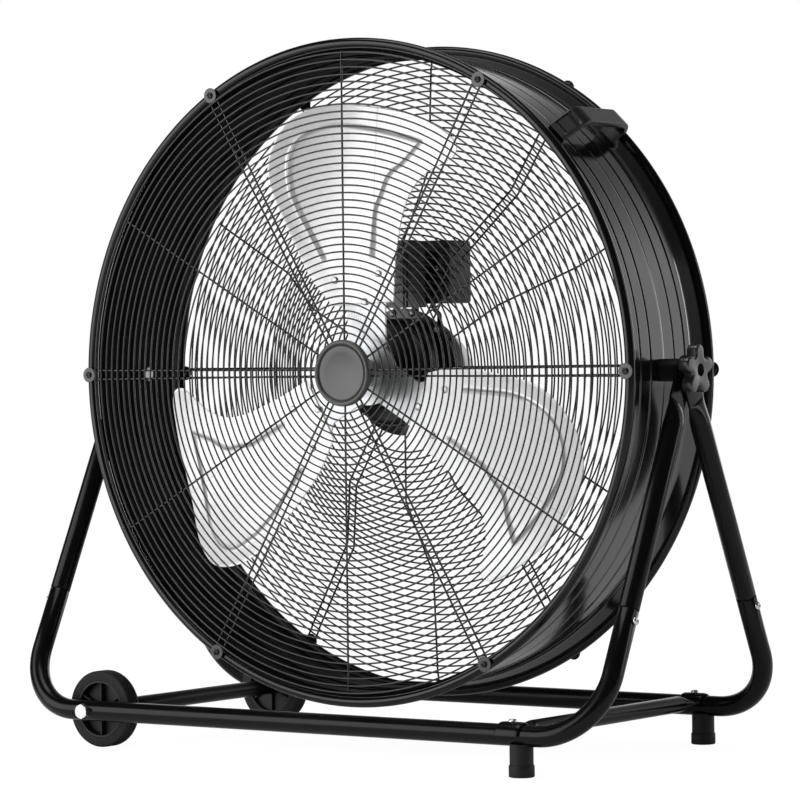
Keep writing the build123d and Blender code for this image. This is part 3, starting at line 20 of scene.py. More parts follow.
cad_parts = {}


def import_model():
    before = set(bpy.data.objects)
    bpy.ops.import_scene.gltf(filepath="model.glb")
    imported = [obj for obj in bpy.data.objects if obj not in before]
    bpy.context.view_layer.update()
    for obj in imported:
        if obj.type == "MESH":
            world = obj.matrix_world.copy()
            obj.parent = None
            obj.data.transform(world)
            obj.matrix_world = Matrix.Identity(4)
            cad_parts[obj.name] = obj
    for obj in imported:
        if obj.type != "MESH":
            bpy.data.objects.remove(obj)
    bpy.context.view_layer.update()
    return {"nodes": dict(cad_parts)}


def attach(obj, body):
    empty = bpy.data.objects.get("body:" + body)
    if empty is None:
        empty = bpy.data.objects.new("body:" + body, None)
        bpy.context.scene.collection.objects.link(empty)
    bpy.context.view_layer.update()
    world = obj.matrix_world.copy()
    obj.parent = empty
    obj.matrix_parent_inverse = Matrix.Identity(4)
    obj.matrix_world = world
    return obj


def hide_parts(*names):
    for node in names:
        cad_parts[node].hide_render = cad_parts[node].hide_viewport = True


Triple = tuple[float, float, float]
Pair = tuple[float, float]
Tree = bpy.types.NodeTree
Socket = bpy.types.NodeSocket
MM = 0.001  # metres
HUB = 463.0  # height of the fan's shaft over the floor
SEAT = 0.05  # gap left between pieces that rest on each other
SIDES = ((-1.0, "front"), (1.0, "rear"))
HANDS = ((1.0, "right"), (-1.0, "left"))
UP: Triple = (0.0, 0.0, 1.0)
TO_BACK: Triple = (0.0, 1.0, 0.0)
TO_FRONT: Triple = (0.0, -1.0, 0.0)
log = logging.getLogger("drum_fan")


# ---- Points -----------------------------------------------------------------------------------


def unit(vectors: np.ndarray) -> np.ndarray:
    """Vectors divided by their lengths."""
    return vectors / np.linalg.norm(vectors, axis=-1, keepdims=True)


def full_turn(count: int) -> np.ndarray:
    """Angles of a whole turn in even steps, in radians."""
    return np.linspace(0.0, 2 * math.pi, count, endpoint=False)


def ease(share: np.ndarray) -> np.ndarray:
    """Smooth step from 0 to 1: 3 s squared less 2 s cubed, with s held to 0 to 1."""
    held = np.clip(share, 0.0, 1.0)
    return held * held * (3.0 - 2.0 * held)


def arc(centre: Sequence[float], radius: float, start: float, end: float, count: int = 9) -> np.ndarray:
    """Arc in a plane.

    Each point is the centre plus the radius times (cos a, sin a), with a going from start to end.

    Args:
        centre: Middle of the arc.
        radius: Its radius.
        start: First angle, in degrees.
        end: Last angle, in degrees.
        count: Number of points.

    Returns:
        Points of shape (count, 2).
    """
    angle = np.radians(np.linspace(start, end, count))
    return np.asarray(centre, float) + radius * np.stack((np.cos(angle), np.sin(angle)), axis=-1)


def rounded_path(
    corners: Sequence[Sequence[float]], radii: float | Sequence[float], count: int = 12
) -> np.ndarray:
    """Line through corners, each turned into an arc.

    An arc touches both runs at r / tan(half the inner angle) from its corner. Its points are the centre
    plus r cos t towards the corner plus r sin t along the travel.

    Args:
        corners: Points of the line, in two or three dimensions.
        radii: One bend radius, or one for each inner corner.
        count: Points on each arc.

    Returns:
        Points of the rounded line.
    """
    points = np.asarray(corners, float)
    bends = np.broadcast_to(np.asarray(radii, float), (len(points) - 2,))
    parts = [points[:1]]
    for before, corner, after, radius in zip(points[:-2], points[1:-1], points[2:], bends):
        back, ahead = unit(before - corner), unit(after - corner)
        half = 0.5 * math.acos(float(np.clip(back @ ahead, -1.0, 1.0)))
        inward, along = unit(back + ahead), unit(ahead - back)
        centre = corner + inward * radius / math.sin(half)
        turn = np.linspace(-1.0, 1.0, count)[:, None] * (math.pi / 2 - half)
        parts.append(centre + radius * (np.sin(turn) * along - np.cos(turn) * inward))
    parts.append(points[-1:])
    return np.concatenate(parts)


def smooth_line(points: Sequence[Sequence[float]], per_run: int = 12) -> np.ndarray:
    """Smooth line through points.

    On each run it is the cubic that starts and ends at the run's points, with a slope at each of half
    the step between that point's neighbours.

    Args:
        points: Points that the line passes through.
        per_run: Points made on each run.

    Returns:
        Points of shape (runs times per_run + 1, dimensions).
    """
    given = np.asarray(points, float)
    padded = np.concatenate((2 * given[:1] - given[1:2], given, 2 * given[-1:] - given[-2:-1]))
    a, b, c, d = (padded[shift : shift + len(given) - 1, None] for shift in range(4))
    t = np.linspace(0.0, 1.0, per_run, endpoint=False)[None, :, None]
    curve = 0.5 * (2 * b + (c - a) * t + (2 * a - 5 * b + 4 * c - d) * t**2 + (3 * b - a - 3 * c + d) * t**3)
    return np.concatenate((curve.reshape(-1, given.shape[1]), given[-1:]))


def even_points(line: np.ndarray, reaches: np.ndarray) -> np.ndarray:
    """Points of a line at distances measured along it."""
    run = np.concatenate(([0.0], np.cumsum(np.linalg.norm(np.diff(line, axis=0), axis=1))))
    return np.stack([np.interp(reaches, run, line[:, axis]) for axis in range(line.shape[1])], axis=-1)


def line_length(line: np.ndarray) -> float:
    """Length of a line of points."""
    return float(np.linalg.norm(np.diff(line, axis=0), axis=1).sum())


def distance_to_line(points: np.ndarray, line: np.ndarray) -> np.ndarray:
    """Distance of each point from the nearest run of a line.

    On each run the nearest place is the start plus the run times a share, which is (p - start) . run
    over run . run, held to 0 to 1.

    Args:
        points: Points of shape (..., 2).
        line: Points of the line, of shape (count, 2).

    Returns:
        Distances of shape (...).
    """
    start, run = line[:-1], np.diff(line, axis=0)
    apart = points[..., None, :] - start
    share = np.clip((apart * run).sum(-1) / (run * run).sum(-1), 0.0, 1.0)
    return np.linalg.norm(apart - share[..., None] * run, axis=-1).min(axis=-1)


# ---- Outlines ---------------------------------------------------------------------------------


def circle(radius: float, count: int = 24) -> np.ndarray:
    """Closed outline of a circle."""
    return arc((0.0, 0.0), radius, 0.0, 360.0 * (count - 1) / count, count)


def round_rectangle(width: float, height: float, radius: float, count: int = 6) -> np.ndarray:
    """Closed outline of a rectangle with an arc at each corner, counterclockwise from the right side.

    Args:
        width: Size along x.
        height: Size along y.
        radius: Radius of the corners.
        count: Points on each corner.

    Returns:
        Points of the outline.
    """
    x, y = width / 2 - radius, height / 2 - radius
    corners = ((x, y, 0.0), (-x, y, 90.0), (-x, -y, 180.0), (x, -y, 270.0))
    return np.concatenate([arc((cx, cy), radius, a, a + 90.0, count) for cx, cy, a in corners])


def inset(outline: np.ndarray, amount: np.ndarray) -> np.ndarray:
    """Closed counterclockwise outline moved inwards.

    Each point moves by the amount along the line's travel turned a quarter to the left.

    Args:
        outline: Points of shape (count, 2).
        amount: Distances, one for each copy that is wanted.

    Returns:
        Outlines of shape (len(amount), count, 2).
    """
    travel = unit(np.roll(outline, -1, axis=0) - np.roll(outline, 1, axis=0))
    inward = np.stack((-travel[:, 1], travel[:, 0]), axis=-1)
    return outline + np.asarray(amount, float)[:, None, None] * inward


def knob_outline(core: float, lobe_circle: float, lobe: float, hollow: float) -> np.ndarray:
    """Closed outline of a knob with five round lobes, one of them along +y.

    The hollow between two lobes is an arc that touches the lobe and the core. The three centres make a
    triangle with sides lobe_circle, core + hollow and lobe + hollow, which gives the arc's place.

    Args:
        core: Radius of the core.
        lobe_circle: Radius of the circle of lobe centres.
        lobe: Radius of a lobe.
        hollow: Radius of the hollow.

    Returns:
        Points of the outline.
    """
    far, near = core + hollow, lobe + hollow
    place = math.acos((lobe_circle**2 + far**2 - near**2) / (2 * lobe_circle * far))
    middle = far * np.array((math.cos(place), math.sin(place)))
    touch = math.degrees(math.atan2(middle[1], middle[0] - lobe_circle))
    inner = 180.0 + math.degrees(place)
    round_lobe = arc((lobe_circle, 0.0), lobe, -touch, touch, 22)
    valley = arc(middle, hollow, 180.0 + touch, inner, 8)[1:]
    petal = np.concatenate((round_lobe, valley))
    angle = math.pi / 2 + np.arange(5) * 2 * math.pi / 5
    cos, sin = np.cos(angle)[:, None], np.sin(angle)[:, None]
    turned_x = cos * petal[:, 0] - sin * petal[:, 1]
    turned_y = sin * petal[:, 0] + cos * petal[:, 1]
    return np.stack((turned_x.ravel(), turned_y.ravel()), axis=-1)


# ---- Surfaces ---------------------------------------------------------------------------------


@dataclass(frozen=True)
class Place:
    """A point and three directions that local coordinates are measured from."""

    origin: Triple
    x: Triple = (1.0, 0.0, 0.0)
    y: Triple = (0.0, 1.0, 0.0)
    z: Triple = (0.0, 0.0, 1.0)

    @classmethod
    def facing(cls, origin: Sequence[float], z: Sequence[float], hint: Triple = UP) -> Place:
        """Place whose z points along a direction, with y as near the hint as it can be.

        Args:
            origin: The place's point.
            z: Direction of its z.
            hint: Direction that its y leans to.

        Returns:
            The place.
        """
        up = unit(np.asarray(z, float))
        y = np.asarray(hint, float) - (np.asarray(hint) @ up) * up
        if np.linalg.norm(y) < 1e-6:
            y = np.array((0.0, 1.0, 0.0)) - up[1] * up
        y = unit(y)
        return cls(tuple(origin), tuple(np.cross(y, up)), tuple(y), tuple(up))

    def put(self, local: np.ndarray) -> np.ndarray:
        """Local points of shape (..., 3) in the model's frame: origin + x u + y v + z w."""
        return np.asarray(self.origin, float) + local @ np.array((self.x, self.y, self.z), float)


def headings(path: np.ndarray) -> np.ndarray:
    """Direction at each point of a path: the mean of the directions of the runs beside it."""
    runs = unit(np.diff(path, axis=0))
    return unit(np.vstack((runs[:1], runs)) + np.vstack((runs, runs[-1:])))


def carry(path: np.ndarray, outline: np.ndarray, up: Triple) -> np.ndarray:
    """Outline carried along a path.

    A point is the path's point + a times side + b times lift, where lift is the up direction less its
    part along the path, and side is the path's direction crossed with lift.

    Args:
        path: Points of shape (rows, 3).
        outline: Points (a, b) of shape (columns, 2), or one outline for each row.
        up: Direction that the outline's b follows.

    Returns:
        Grid of shape (rows, columns, 3).
    """
    ahead = headings(path)
    lift = unit(np.asarray(up, float) - (ahead @ np.asarray(up, float))[:, None] * ahead)
    side = np.cross(ahead, lift)
    shape = np.broadcast_to(outline, (len(path),) + outline.shape[-2:])
    return path[:, None] + shape[..., :1] * side[:, None] + shape[..., 1:] * lift[:, None]


def capped(grid: np.ndarray) -> np.ndarray:
    """Grid with a row added at each end, drawn in to the middle of the end row.

    Args:
        grid: Points of shape (rows, columns, 3).

    Returns:
        Grid of shape (rows + 2, columns, 3).
    """
    first = np.broadcast_to(grid[:1].mean(axis=1, keepdims=True), grid[:1].shape)
    last = np.broadcast_to(grid[-1:].mean(axis=1, keepdims=True), grid[-1:].shape)
    return np.concatenate((first, grid, last))


def turned(profile: Sequence[Sequence[float]], place: Place, count: int = 64) -> np.ndarray:
    """Profile turned round a place's z: x = r cos a, y = r sin a, z = h.

    Args:
        profile: Points (radius, height).
        place: Centre and axis.
        count: Steps round the axis.

    Returns:
        Grid of shape (points, count, 3).
    """
    line = np.asarray(profile, float)
    angle = full_turn(count)
    heights = np.broadcast_to(line[:, 1:], (len(line), count))
    return place.put(np.stack((line[:, :1] * np.cos(angle), line[:, :1] * np.sin(angle), heights), axis=-1))


def stacked(outline: np.ndarray, levels: Sequence[Sequence[float]], place: Place) -> np.ndarray:
    """Outline raised through levels.

    Args:
        outline: Closed counterclockwise outline, (x, y).
        levels: Pairs (height, inset) from one end to the other.
        place: Where the outline lies; heights go along its z.

    Returns:
        Grid with both ends drawn in to a point.
    """
    table = np.asarray(levels, float)
    rings = inset(outline, table[:, 1])
    heights = np.broadcast_to(table[:, :1, None], rings.shape[:2] + (1,))
    return place.put(capped(np.concatenate((rings, heights), axis=-1)))


def drilled_ring(outer: float, inner: float, height: float, round_off: float = 0.3) -> list[Pair]:
    """Closed profile of a flat ring with its outer corners taken off."""
    wall, edge, top = outer - round_off, round_off, height - round_off
    return [(inner, 0.0), (wall, 0.0), (outer, edge), (outer, top), (wall, height), (inner, height)]


def quads(index: np.ndarray) -> np.ndarray:
    """Faces of a grid of point numbers, each from a corner down, across and back up."""
    return np.stack((index[:-1, :-1], index[1:, :-1], index[1:, 1:], index[:-1, 1:]), axis=-1).reshape(-1, 4)


class Surface:
    """Points and faces of one piece, gathered from grids of points."""

    def __init__(self) -> None:
        """Start with nothing."""
        self.points: list[np.ndarray] = []
        self.faces: list[np.ndarray] = []
        self.count = 0

    def add(self, grid: np.ndarray, closed_rows: bool = False, closed_columns: bool = True) -> Surface:
        """Join a grid to the piece.

        The face at row i and column j takes the corners (i, j), (i + 1, j), (i + 1, j + 1), (i, j + 1).

        Args:
            grid: Points of shape (rows, columns, 3), in millimetres.
            closed_rows: True if the last row joins the first.
            closed_columns: True if the last column joins the first.

        Returns:
            The surface itself.
        """
        rows, columns = grid.shape[:2]
        index = np.arange(rows * columns).reshape(rows, columns) + self.count
        if closed_rows:
            index = np.vstack((index, index[:1]))
        if closed_columns:
            index = np.hstack((index, index[:, :1]))
        self.points.append(grid.reshape(-1, 3))
        self.faces.append(quads(index))
        self.count += rows * columns
        return self

    def mesh(self, name: str, crease: float) -> bpy.types.Mesh:
        """Mesh in metres with its doubles merged, its faces outwards and smooth below the crease angle.

        Args:
            name: Name of the mesh.
            crease: Angle in degrees from which an edge is sharp.

        Returns:
            The mesh.
        """
        points, faces = np.concatenate(self.points) * MM, np.concatenate(self.faces)
        mesh = bpy.data.meshes.new(name)
        mesh.from_pydata(points.tolist(), [], faces.tolist())
        edit = bmesh.new()
        edit.from_mesh(mesh)
        bmesh.ops.remove_doubles(edit, verts=edit.verts, dist=2e-6)
        bmesh.ops.recalc_face_normals(edit, faces=edit.faces)
        edit.to_mesh(mesh)
        edit.free()
        mesh.shade_smooth()
        mesh.set_sharp_from_angle(angle=math.radians(crease))
        return mesh


# ---- Finishes ---------------------------------------------------------------------------------


def arithmetic(
    tree: Tree, operation: str, left: Socket, right: float | Socket = 0.0
) -> Socket:
    """Result of one arithmetic node.

    Args:
        tree: Node tree that gets the node.
        operation: Name of the operation.
        left: First value.
        right: Second value, a number or a socket.

    Returns:
        Socket that gives the result.
    """
    node = tree.nodes.new("ShaderNodeMath")
    node.operation = operation
    tree.links.new(left, node.inputs[0])
    if isinstance(right, float):
        node.inputs[1].default_value = right
    else:
        tree.links.new(right, node.inputs[1])
    return node.outputs[0]


def ranged(
    tree: Tree, value: Socket, source: Pair, target: Pair, soft: bool = False
) -> Socket:
    """A value taken from one range to another and held to its ends.

    Args:
        tree: Node tree that gets the node.
        value: The value.
        source: Range that it is taken from.
        target: Range that it is taken to.
        soft: True for a smooth step in place of a straight one.

    Returns:
        Socket that gives the result.
    """
    node = tree.nodes.new("ShaderNodeMapRange")
    node.interpolation_type = "SMOOTHSTEP" if soft else "LINEAR"
    node.inputs["From Min"].default_value, node.inputs["From Max"].default_value = source
    node.inputs["To Min"].default_value, node.inputs["To Max"].default_value = target
    tree.links.new(value, node.inputs["Value"])
    return node.outputs["Result"]


def mixed(
    tree: Tree, share: Socket, low: Triple | Socket, high: Triple
) -> Socket:
    """Colour between two others.

    Args:
        tree: Node tree that gets the node.
        share: Share of the second colour.
        low: First colour, as numbers or a socket.
        high: Second colour.

    Returns:
        Socket that gives the colour.
    """
    node = tree.nodes.new("ShaderNodeMix")
    node.data_type = "RGBA"
    tree.links.new(share, node.inputs[0])
    if isinstance(low, tuple):
        node.inputs[6].default_value = (*low, 1.0)
    else:
        tree.links.new(low, node.inputs[6])
    node.inputs[7].default_value = (*high, 1.0)
    return node.outputs[2]


class Pattern(Enum):
    """Procedural pattern that a finish takes its fine relief from."""

    SPECKLE = "ShaderNodeTexNoise"
    CELLS = "ShaderNodeTexVoronoi"
    BANDS = "ShaderNodeTexWave"


@dataclass(frozen=True)
class Finish:
    """A surface finish, built as node material: two tones, wandering roughness and two scales of relief."""

    slot: str
    colour: Triple
    roughness: float
    tone: float = 0.12
    wander: float = 0.05
    metallic: float = 0.0
    specular: float = 0.5
    cells: Triple = (700.0, 700.0, 700.0)
    relief: float = 0.01
    patch: float = 14.0
    sway: float = 0.0
    pattern: Pattern = Pattern.SPECKLE
    kind: str = "finish"

    def material(self) -> bpy.types.Material:
        """The finish's material, made the first time it is asked for.

        Returns:
            The material.
        """
        name = f"{self.slot}_{self.kind}"
        found = bpy.data.materials.get(name)
        if found is not None:
            return found
        made = bpy.data.materials.new(name)
        made.use_nodes = True
        self.dress(made.node_tree)
        return made

    def dress(self, tree: Tree) -> None:
        """Lay out the nodes: object coordinates drive the tone, the roughness and the relief.

        Args:
            tree: The material's node tree.
        """
        shader = tree.nodes["Principled BSDF"]
        shader.inputs["Metallic"].default_value = self.metallic
        shader.inputs["Specular IOR Level"].default_value = self.specular
        place = tree.nodes.new("ShaderNodeTexCoord").outputs["Object"]
        broad = tree.nodes.new("ShaderNodeTexNoise")
        broad.inputs["Scale"].default_value = self.patch
        broad.inputs["Detail"].default_value = 5.0
        tree.links.new(place, broad.inputs["Vector"])
        dark = tuple(c * (1.0 - self.tone) for c in self.colour)
        light = tuple(min(c * (1.0 + self.tone), 1.0) for c in self.colour)
        tree.links.new(mixed(tree, broad.outputs["Fac"], dark, light), shader.inputs["Base Color"])
        rough = (self.roughness - self.wander, self.roughness + self.wander)
        tree.links.new(ranged(tree, broad.outputs["Fac"], (0.3, 0.7), rough), shader.inputs["Roughness"])
        sway = self.bump(tree, broad.outputs["Fac"], self.sway)
        fine = self.bump(tree, self.grain(tree, place), self.relief)
        tree.links.new(sway.outputs["Normal"], fine.inputs["Normal"])
        tree.links.new(fine.outputs["Normal"], shader.inputs["Normal"])

    def grain(self, tree: Tree, place: Socket) -> Socket:
        """Height of the fine pattern, with the finish's cells to the metre along each axis.

        Args:
            tree: The material's node tree.
            place: Socket with the object's coordinates.

        Returns:
            Socket that gives the height.
        """
        mapping = tree.nodes.new("ShaderNodeMapping")
        mapping.inputs["Scale"].default_value = self.cells
        texture = tree.nodes.new(self.pattern.value)
        texture.inputs["Scale"].default_value = 1.0
        tree.links.new(place, mapping.inputs["Vector"])
        tree.links.new(mapping.outputs["Vector"], texture.inputs["Vector"])
        return texture.outputs[0]

    def bump(self, tree: Tree, height: Socket, depth: float) -> bpy.types.Node:
        """Relief from a height.

        Args:
            tree: The material's node tree.
            height: Socket that gives the height.
            depth: Depth of the relief in millimetres.

        Returns:
            The bump node.
        """
        node = tree.nodes.new("ShaderNodeBump")
        node.inputs["Strength"].default_value = 1.0
        node.inputs["Distance"].default_value = depth * MM
        tree.links.new(height, node.inputs["Height"])
        return node


@dataclass(frozen=True)
class BladeFinish(Finish):
    """Satin aluminium sheet with painted shade along one faint fold placed by its UV map, and painted shade
    and reflection darkening the crown of its rib.
    """

    fold: float = 0.54
    fold_width: float = 0.004
    fold_start: float = 0.45
    fold_shade_share: float = 0.35
    fold_shade_tone: float = 0.45
    rib_start: float = 0.35
    rib_shade_share: float = 0.72
    rib_shade_colour: Triple = (0.05, 0.045, 0.04)

    def dress(self, tree: Tree) -> None:
        """Add painted shade along the fold line, a thin darker stripe where the map's u is near the fold, and
        painted shade and reflection darkening the rib's crown.

        Args:
            tree: The material's node tree.
        """
        super().dress(tree)
        colour = tree.nodes["Principled BSDF"].inputs["Base Color"]
        flat = tree.nodes.new("ShaderNodeUVMap")
        flat.uv_map = "sheet"
        split = tree.nodes.new("ShaderNodeSeparateXYZ")
        tree.links.new(flat.outputs["UV"], split.inputs["Vector"])
        away = arithmetic(tree, "SUBTRACT", split.outputs["X"], self.fold)
        near = arithmetic(tree, "LESS_THAN", arithmetic(tree, "ABSOLUTE", away), self.fold_width)
        high = arithmetic(tree, "GREATER_THAN", split.outputs["Y"], self.fold_start)
        # Painted shade: the fold's groove is drawn as a thin darker stripe of the sheet's colour, not as
        # relief.
        stripe = arithmetic(tree, "MULTIPLY", arithmetic(tree, "MULTIPLY", near, high), self.fold_shade_share)
        fold_shade_colour = tuple(self.fold_shade_tone * c for c in self.colour)
        fold_shaded = mixed(tree, stripe, colour.links[0].from_socket, fold_shade_colour)
        # Painted shade and reflection: the rib's crown is mixed towards a near-black colour, standing in for
        # the dark drum mirrored in the raised sheet.
        drawn = tree.nodes.new("ShaderNodeAttribute")
        drawn.attribute_name = "rib"
        crown = ranged(tree, drawn.outputs["Fac"], (self.rib_start, 1.0), (0.0, self.rib_shade_share))
        tree.links.new(mixed(tree, crown, fold_shaded, self.rib_shade_colour), colour)


FRAME_COAT = Finish("frame_black", (0.003, 0.003, 0.0032), 0.2, specular=0.16, relief=0.01, sway=0.03)
DRUM_COAT = Finish(
    "drum_black", (0.004, 0.0042, 0.0046), 0.12, wander=0.03, specular=1.0, relief=0.004, patch=6.0, sway=0.1
)
DRUM_RIM = Finish("drum_black", (0.003, 0.003, 0.0032), 0.18, kind="rim", specular=0.3, relief=0.004)
DRUM_INSIDE = Finish("drum_black", (0.003, 0.003, 0.003), 0.6, kind="dull_inside", specular=0.03, relief=0.02)
WIRE_COAT = Finish("guard_black", (0.0055, 0.005, 0.0048), 0.2, specular=0.5, relief=0.008)
CAP_MOULDED = Finish("cap_grey", (0.04, 0.039, 0.038), 0.35, relief=0.01, cells=(1500.0, 1500.0, 1500.0))
KNOB_MOULDED = Finish("knob_black", (0.009, 0.009, 0.0095), 0.34, specular=0.9, relief=0.01)
HANDLE_MOULDED = Finish("knob_black", (0.006, 0.006, 0.0063), 0.32, kind="handle", relief=0.01)
SPACER_MOULDED = Finish("spacer_black", (0.004, 0.004, 0.004), 0.5, specular=0.25, relief=0.01)
WHEEL_MOULDED = Finish(
    "wheel_black", (0.0045, 0.0045, 0.0048), 0.5, specular=0.3, relief=0.02, cells=(1200.0, 1200.0, 1200.0)
)
TYRE_RUBBER = Finish(
    "tyre_black", (0.0035, 0.0033, 0.0032), 0.6, specular=0.25, relief=0.03, cells=(900.0, 900.0, 900.0)
)
FOOT_RUBBER = Finish(
    "rubber_black", (0.0055, 0.0055, 0.0055), 0.65, specular=0.3, relief=0.06, cells=(800.0, 800.0, 800.0)
)
ZINC_PLATE = Finish("zinc", (0.60, 0.61, 0.62), 0.3, tone=0.1, metallic=1.0, relief=0.006, patch=160.0)
WASHER_STEEL = Finish("washer_steel", (0.055, 0.055, 0.058), 0.35, metallic=0.9, relief=0.006, patch=120.0)
BLACK_OXIDE = Finish("black_screw", (0.012, 0.012, 0.012), 0.32, metallic=0.3, relief=0.006, patch=120.0)
BLADE_SHEET = BladeFinish(
    "blade_silver",
    (0.86, 0.86, 0.86),
    0.3,
    tone=0.02,
    wander=0.03,
    metallic=0.3,
    cells=(60.0, 400.0, 900.0),
    relief=0.003,
    patch=5.0,
)
SPIDER_PAINT = Finish("spider_steel", (0.5, 0.51, 0.52), 0.3, metallic=0.85, relief=0.008)
MOTOR_PAINT = Finish(
    "motor_black", (0.003, 0.003, 0.0032), 0.35, specular=0.3, relief=0.02, cells=(500.0, 500.0, 500.0)
)
CORE_STEEL = Finish(
    "core_steel",
    (0.4, 0.4, 0.4),
    0.4,
    metallic=1.0,
    cells=(0.0, 640.0, 0.0),
    relief=0.1,
    pattern=Pattern.BANDS,
)
COPPER_WIRE = Finish(
    "copper_wire",
    (0.72, 0.36, 0.18),
    0.3,
    metallic=0.9,
    cells=(260.0, 260.0, 260.0),
    relief=0.5,
    pattern=Pattern.BANDS,
)
BOX_MOULDED = Finish(
    "box_black", (0.0035, 0.0035, 0.0038), 0.45, specular=0.3, relief=0.03, cells=(1100.0, 1100.0, 1100.0)
)
CAPACITOR_CASE = Finish(
    "capacitor_grey", (0.5, 0.5, 0.5), 0.4, relief=0.02, cells=(900.0, 900.0, 900.0), pattern=Pattern.CELLS
)


# ---- Small parts ------------------------------------------------------------------------------


class Drive(Enum):
    """Shape pressed into a screw head, as (half length, half width) over the head's radius."""

    CROSS = (0.52, 0.13)
    PLAIN = (0.0, 0.0)


def screw_head(place: Place, radius: float, height: float, drive: Drive = Drive.CROSS) -> np.ndarray:
    """Domed screw head with its drive pressed in.

    The dome's height is h (1 - 0.55 (r / R) to the fourth) down to a short upright rim. The recess is
    half the height deep where a point is inside one of two crossed slots, with soft walls.

    Args:
        place: Seat of the head, with z out of the work.
        radius: Radius of the head.
        height: Height of the head.
        drive: Shape of the recess.

    Returns:
        Closed grid of the head.
    """
    share = np.concatenate((np.linspace(0.0, 0.7, 12), (0.8, 0.9, 0.96, 1.0)))
    angle = full_turn(40)
    u, v = share[:, None] * np.cos(angle), share[:, None] * np.sin(angle)
    dome = np.broadcast_to((1.0 - 0.55 * share**4)[:, None], u.shape)
    length, width = drive.value
    if length > 0.0:
        slots = [
            ease((length - abs(p)) / 0.08 + 0.5) * ease((width - abs(q)) / 0.06 + 0.5)
            for p, q in ((u, v), (v, u))
        ]
        dome = dome - 0.55 * np.maximum(*slots)
    top = np.stack((u * radius, v * radius, dome * height), axis=-1)
    rim = top[-1:] * (1.0, 1.0, 0.0)
    return place.put(np.concatenate((top, rim, rim * 0.0)))


def hexagon(angle: np.ndarray, across: float) -> np.ndarray:
    """Radius of a hexagon: half its width over the cosine of the angle from the nearest flat's middle."""
    nearest = (angle + math.pi / 6) % (math.pi / 3) - math.pi / 6
    return across / 2 / np.cos(nearest)


def hex_head(place: Place, across: float, height: float) -> np.ndarray:
    """Hexagonal head with its corners turned off.

    The radius at an angle is the smaller of the hexagon's and the chamfer's at that height.

    Args:
        place: Seat of the head, with z out of the work.
        across: Width across the flats.
        height: Height of the head.

    Returns:
        Closed grid of the head.
    """
    angle = full_turn(96)
    corner = across / math.sqrt(3.0)
    levels = np.array(((0.0, 0.25), (0.25, 0.0), (0.5, 0.0), (0.78, 0.0), (0.9, 0.35), (1.0, 1.15)))
    radius = np.minimum(hexagon(angle, across), (corner - levels[:, 1])[:, None])
    top = np.full((1, 96), across * 0.44)
    radius = np.concatenate((radius * 0.0, radius, top, top * 0.0))[len(levels) - 1 :]
    heights = np.concatenate(([0.0], levels[:, 0], [1.0, 1.0])) * height
    rows = np.broadcast_to(heights[:, None], radius.shape)
    return place.put(np.stack((radius * np.cos(angle), radius * np.sin(angle), rows), axis=-1))


@dataclass
class Assembly:
    """A sub-assembly, with the CAD body that its pieces ride on."""

    body: str = "base"

    def finish(
        self, name: str, surface: Surface, finish: Finish, nodes: Sequence[str], crease: float = 38.0
    ) -> bpy.types.Object:
        """Turn a surface into a dressed piece that stands for CAD nodes.

        Args:
            name: Name of the piece.
            surface: Its points and faces.
            finish: Its surface finish.
            nodes: CAD nodes that it stands for.
            crease: Angle in degrees from which an edge is sharp.

        Returns:
            The piece.
        """
        piece = bpy.data.objects.new(name, surface.mesh(name, crease))
        bpy.context.scene.collection.objects.link(piece)
        piece.data.materials.append(finish.material())
        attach(piece, self.body)
        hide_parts(*nodes)
        log.info("%s: %d faces on %s, for %s", name, len(piece.data.polygons), self.body, ", ".join(nodes))
        return piece


# ---- Tube frame -------------------------------------------------------------------------------


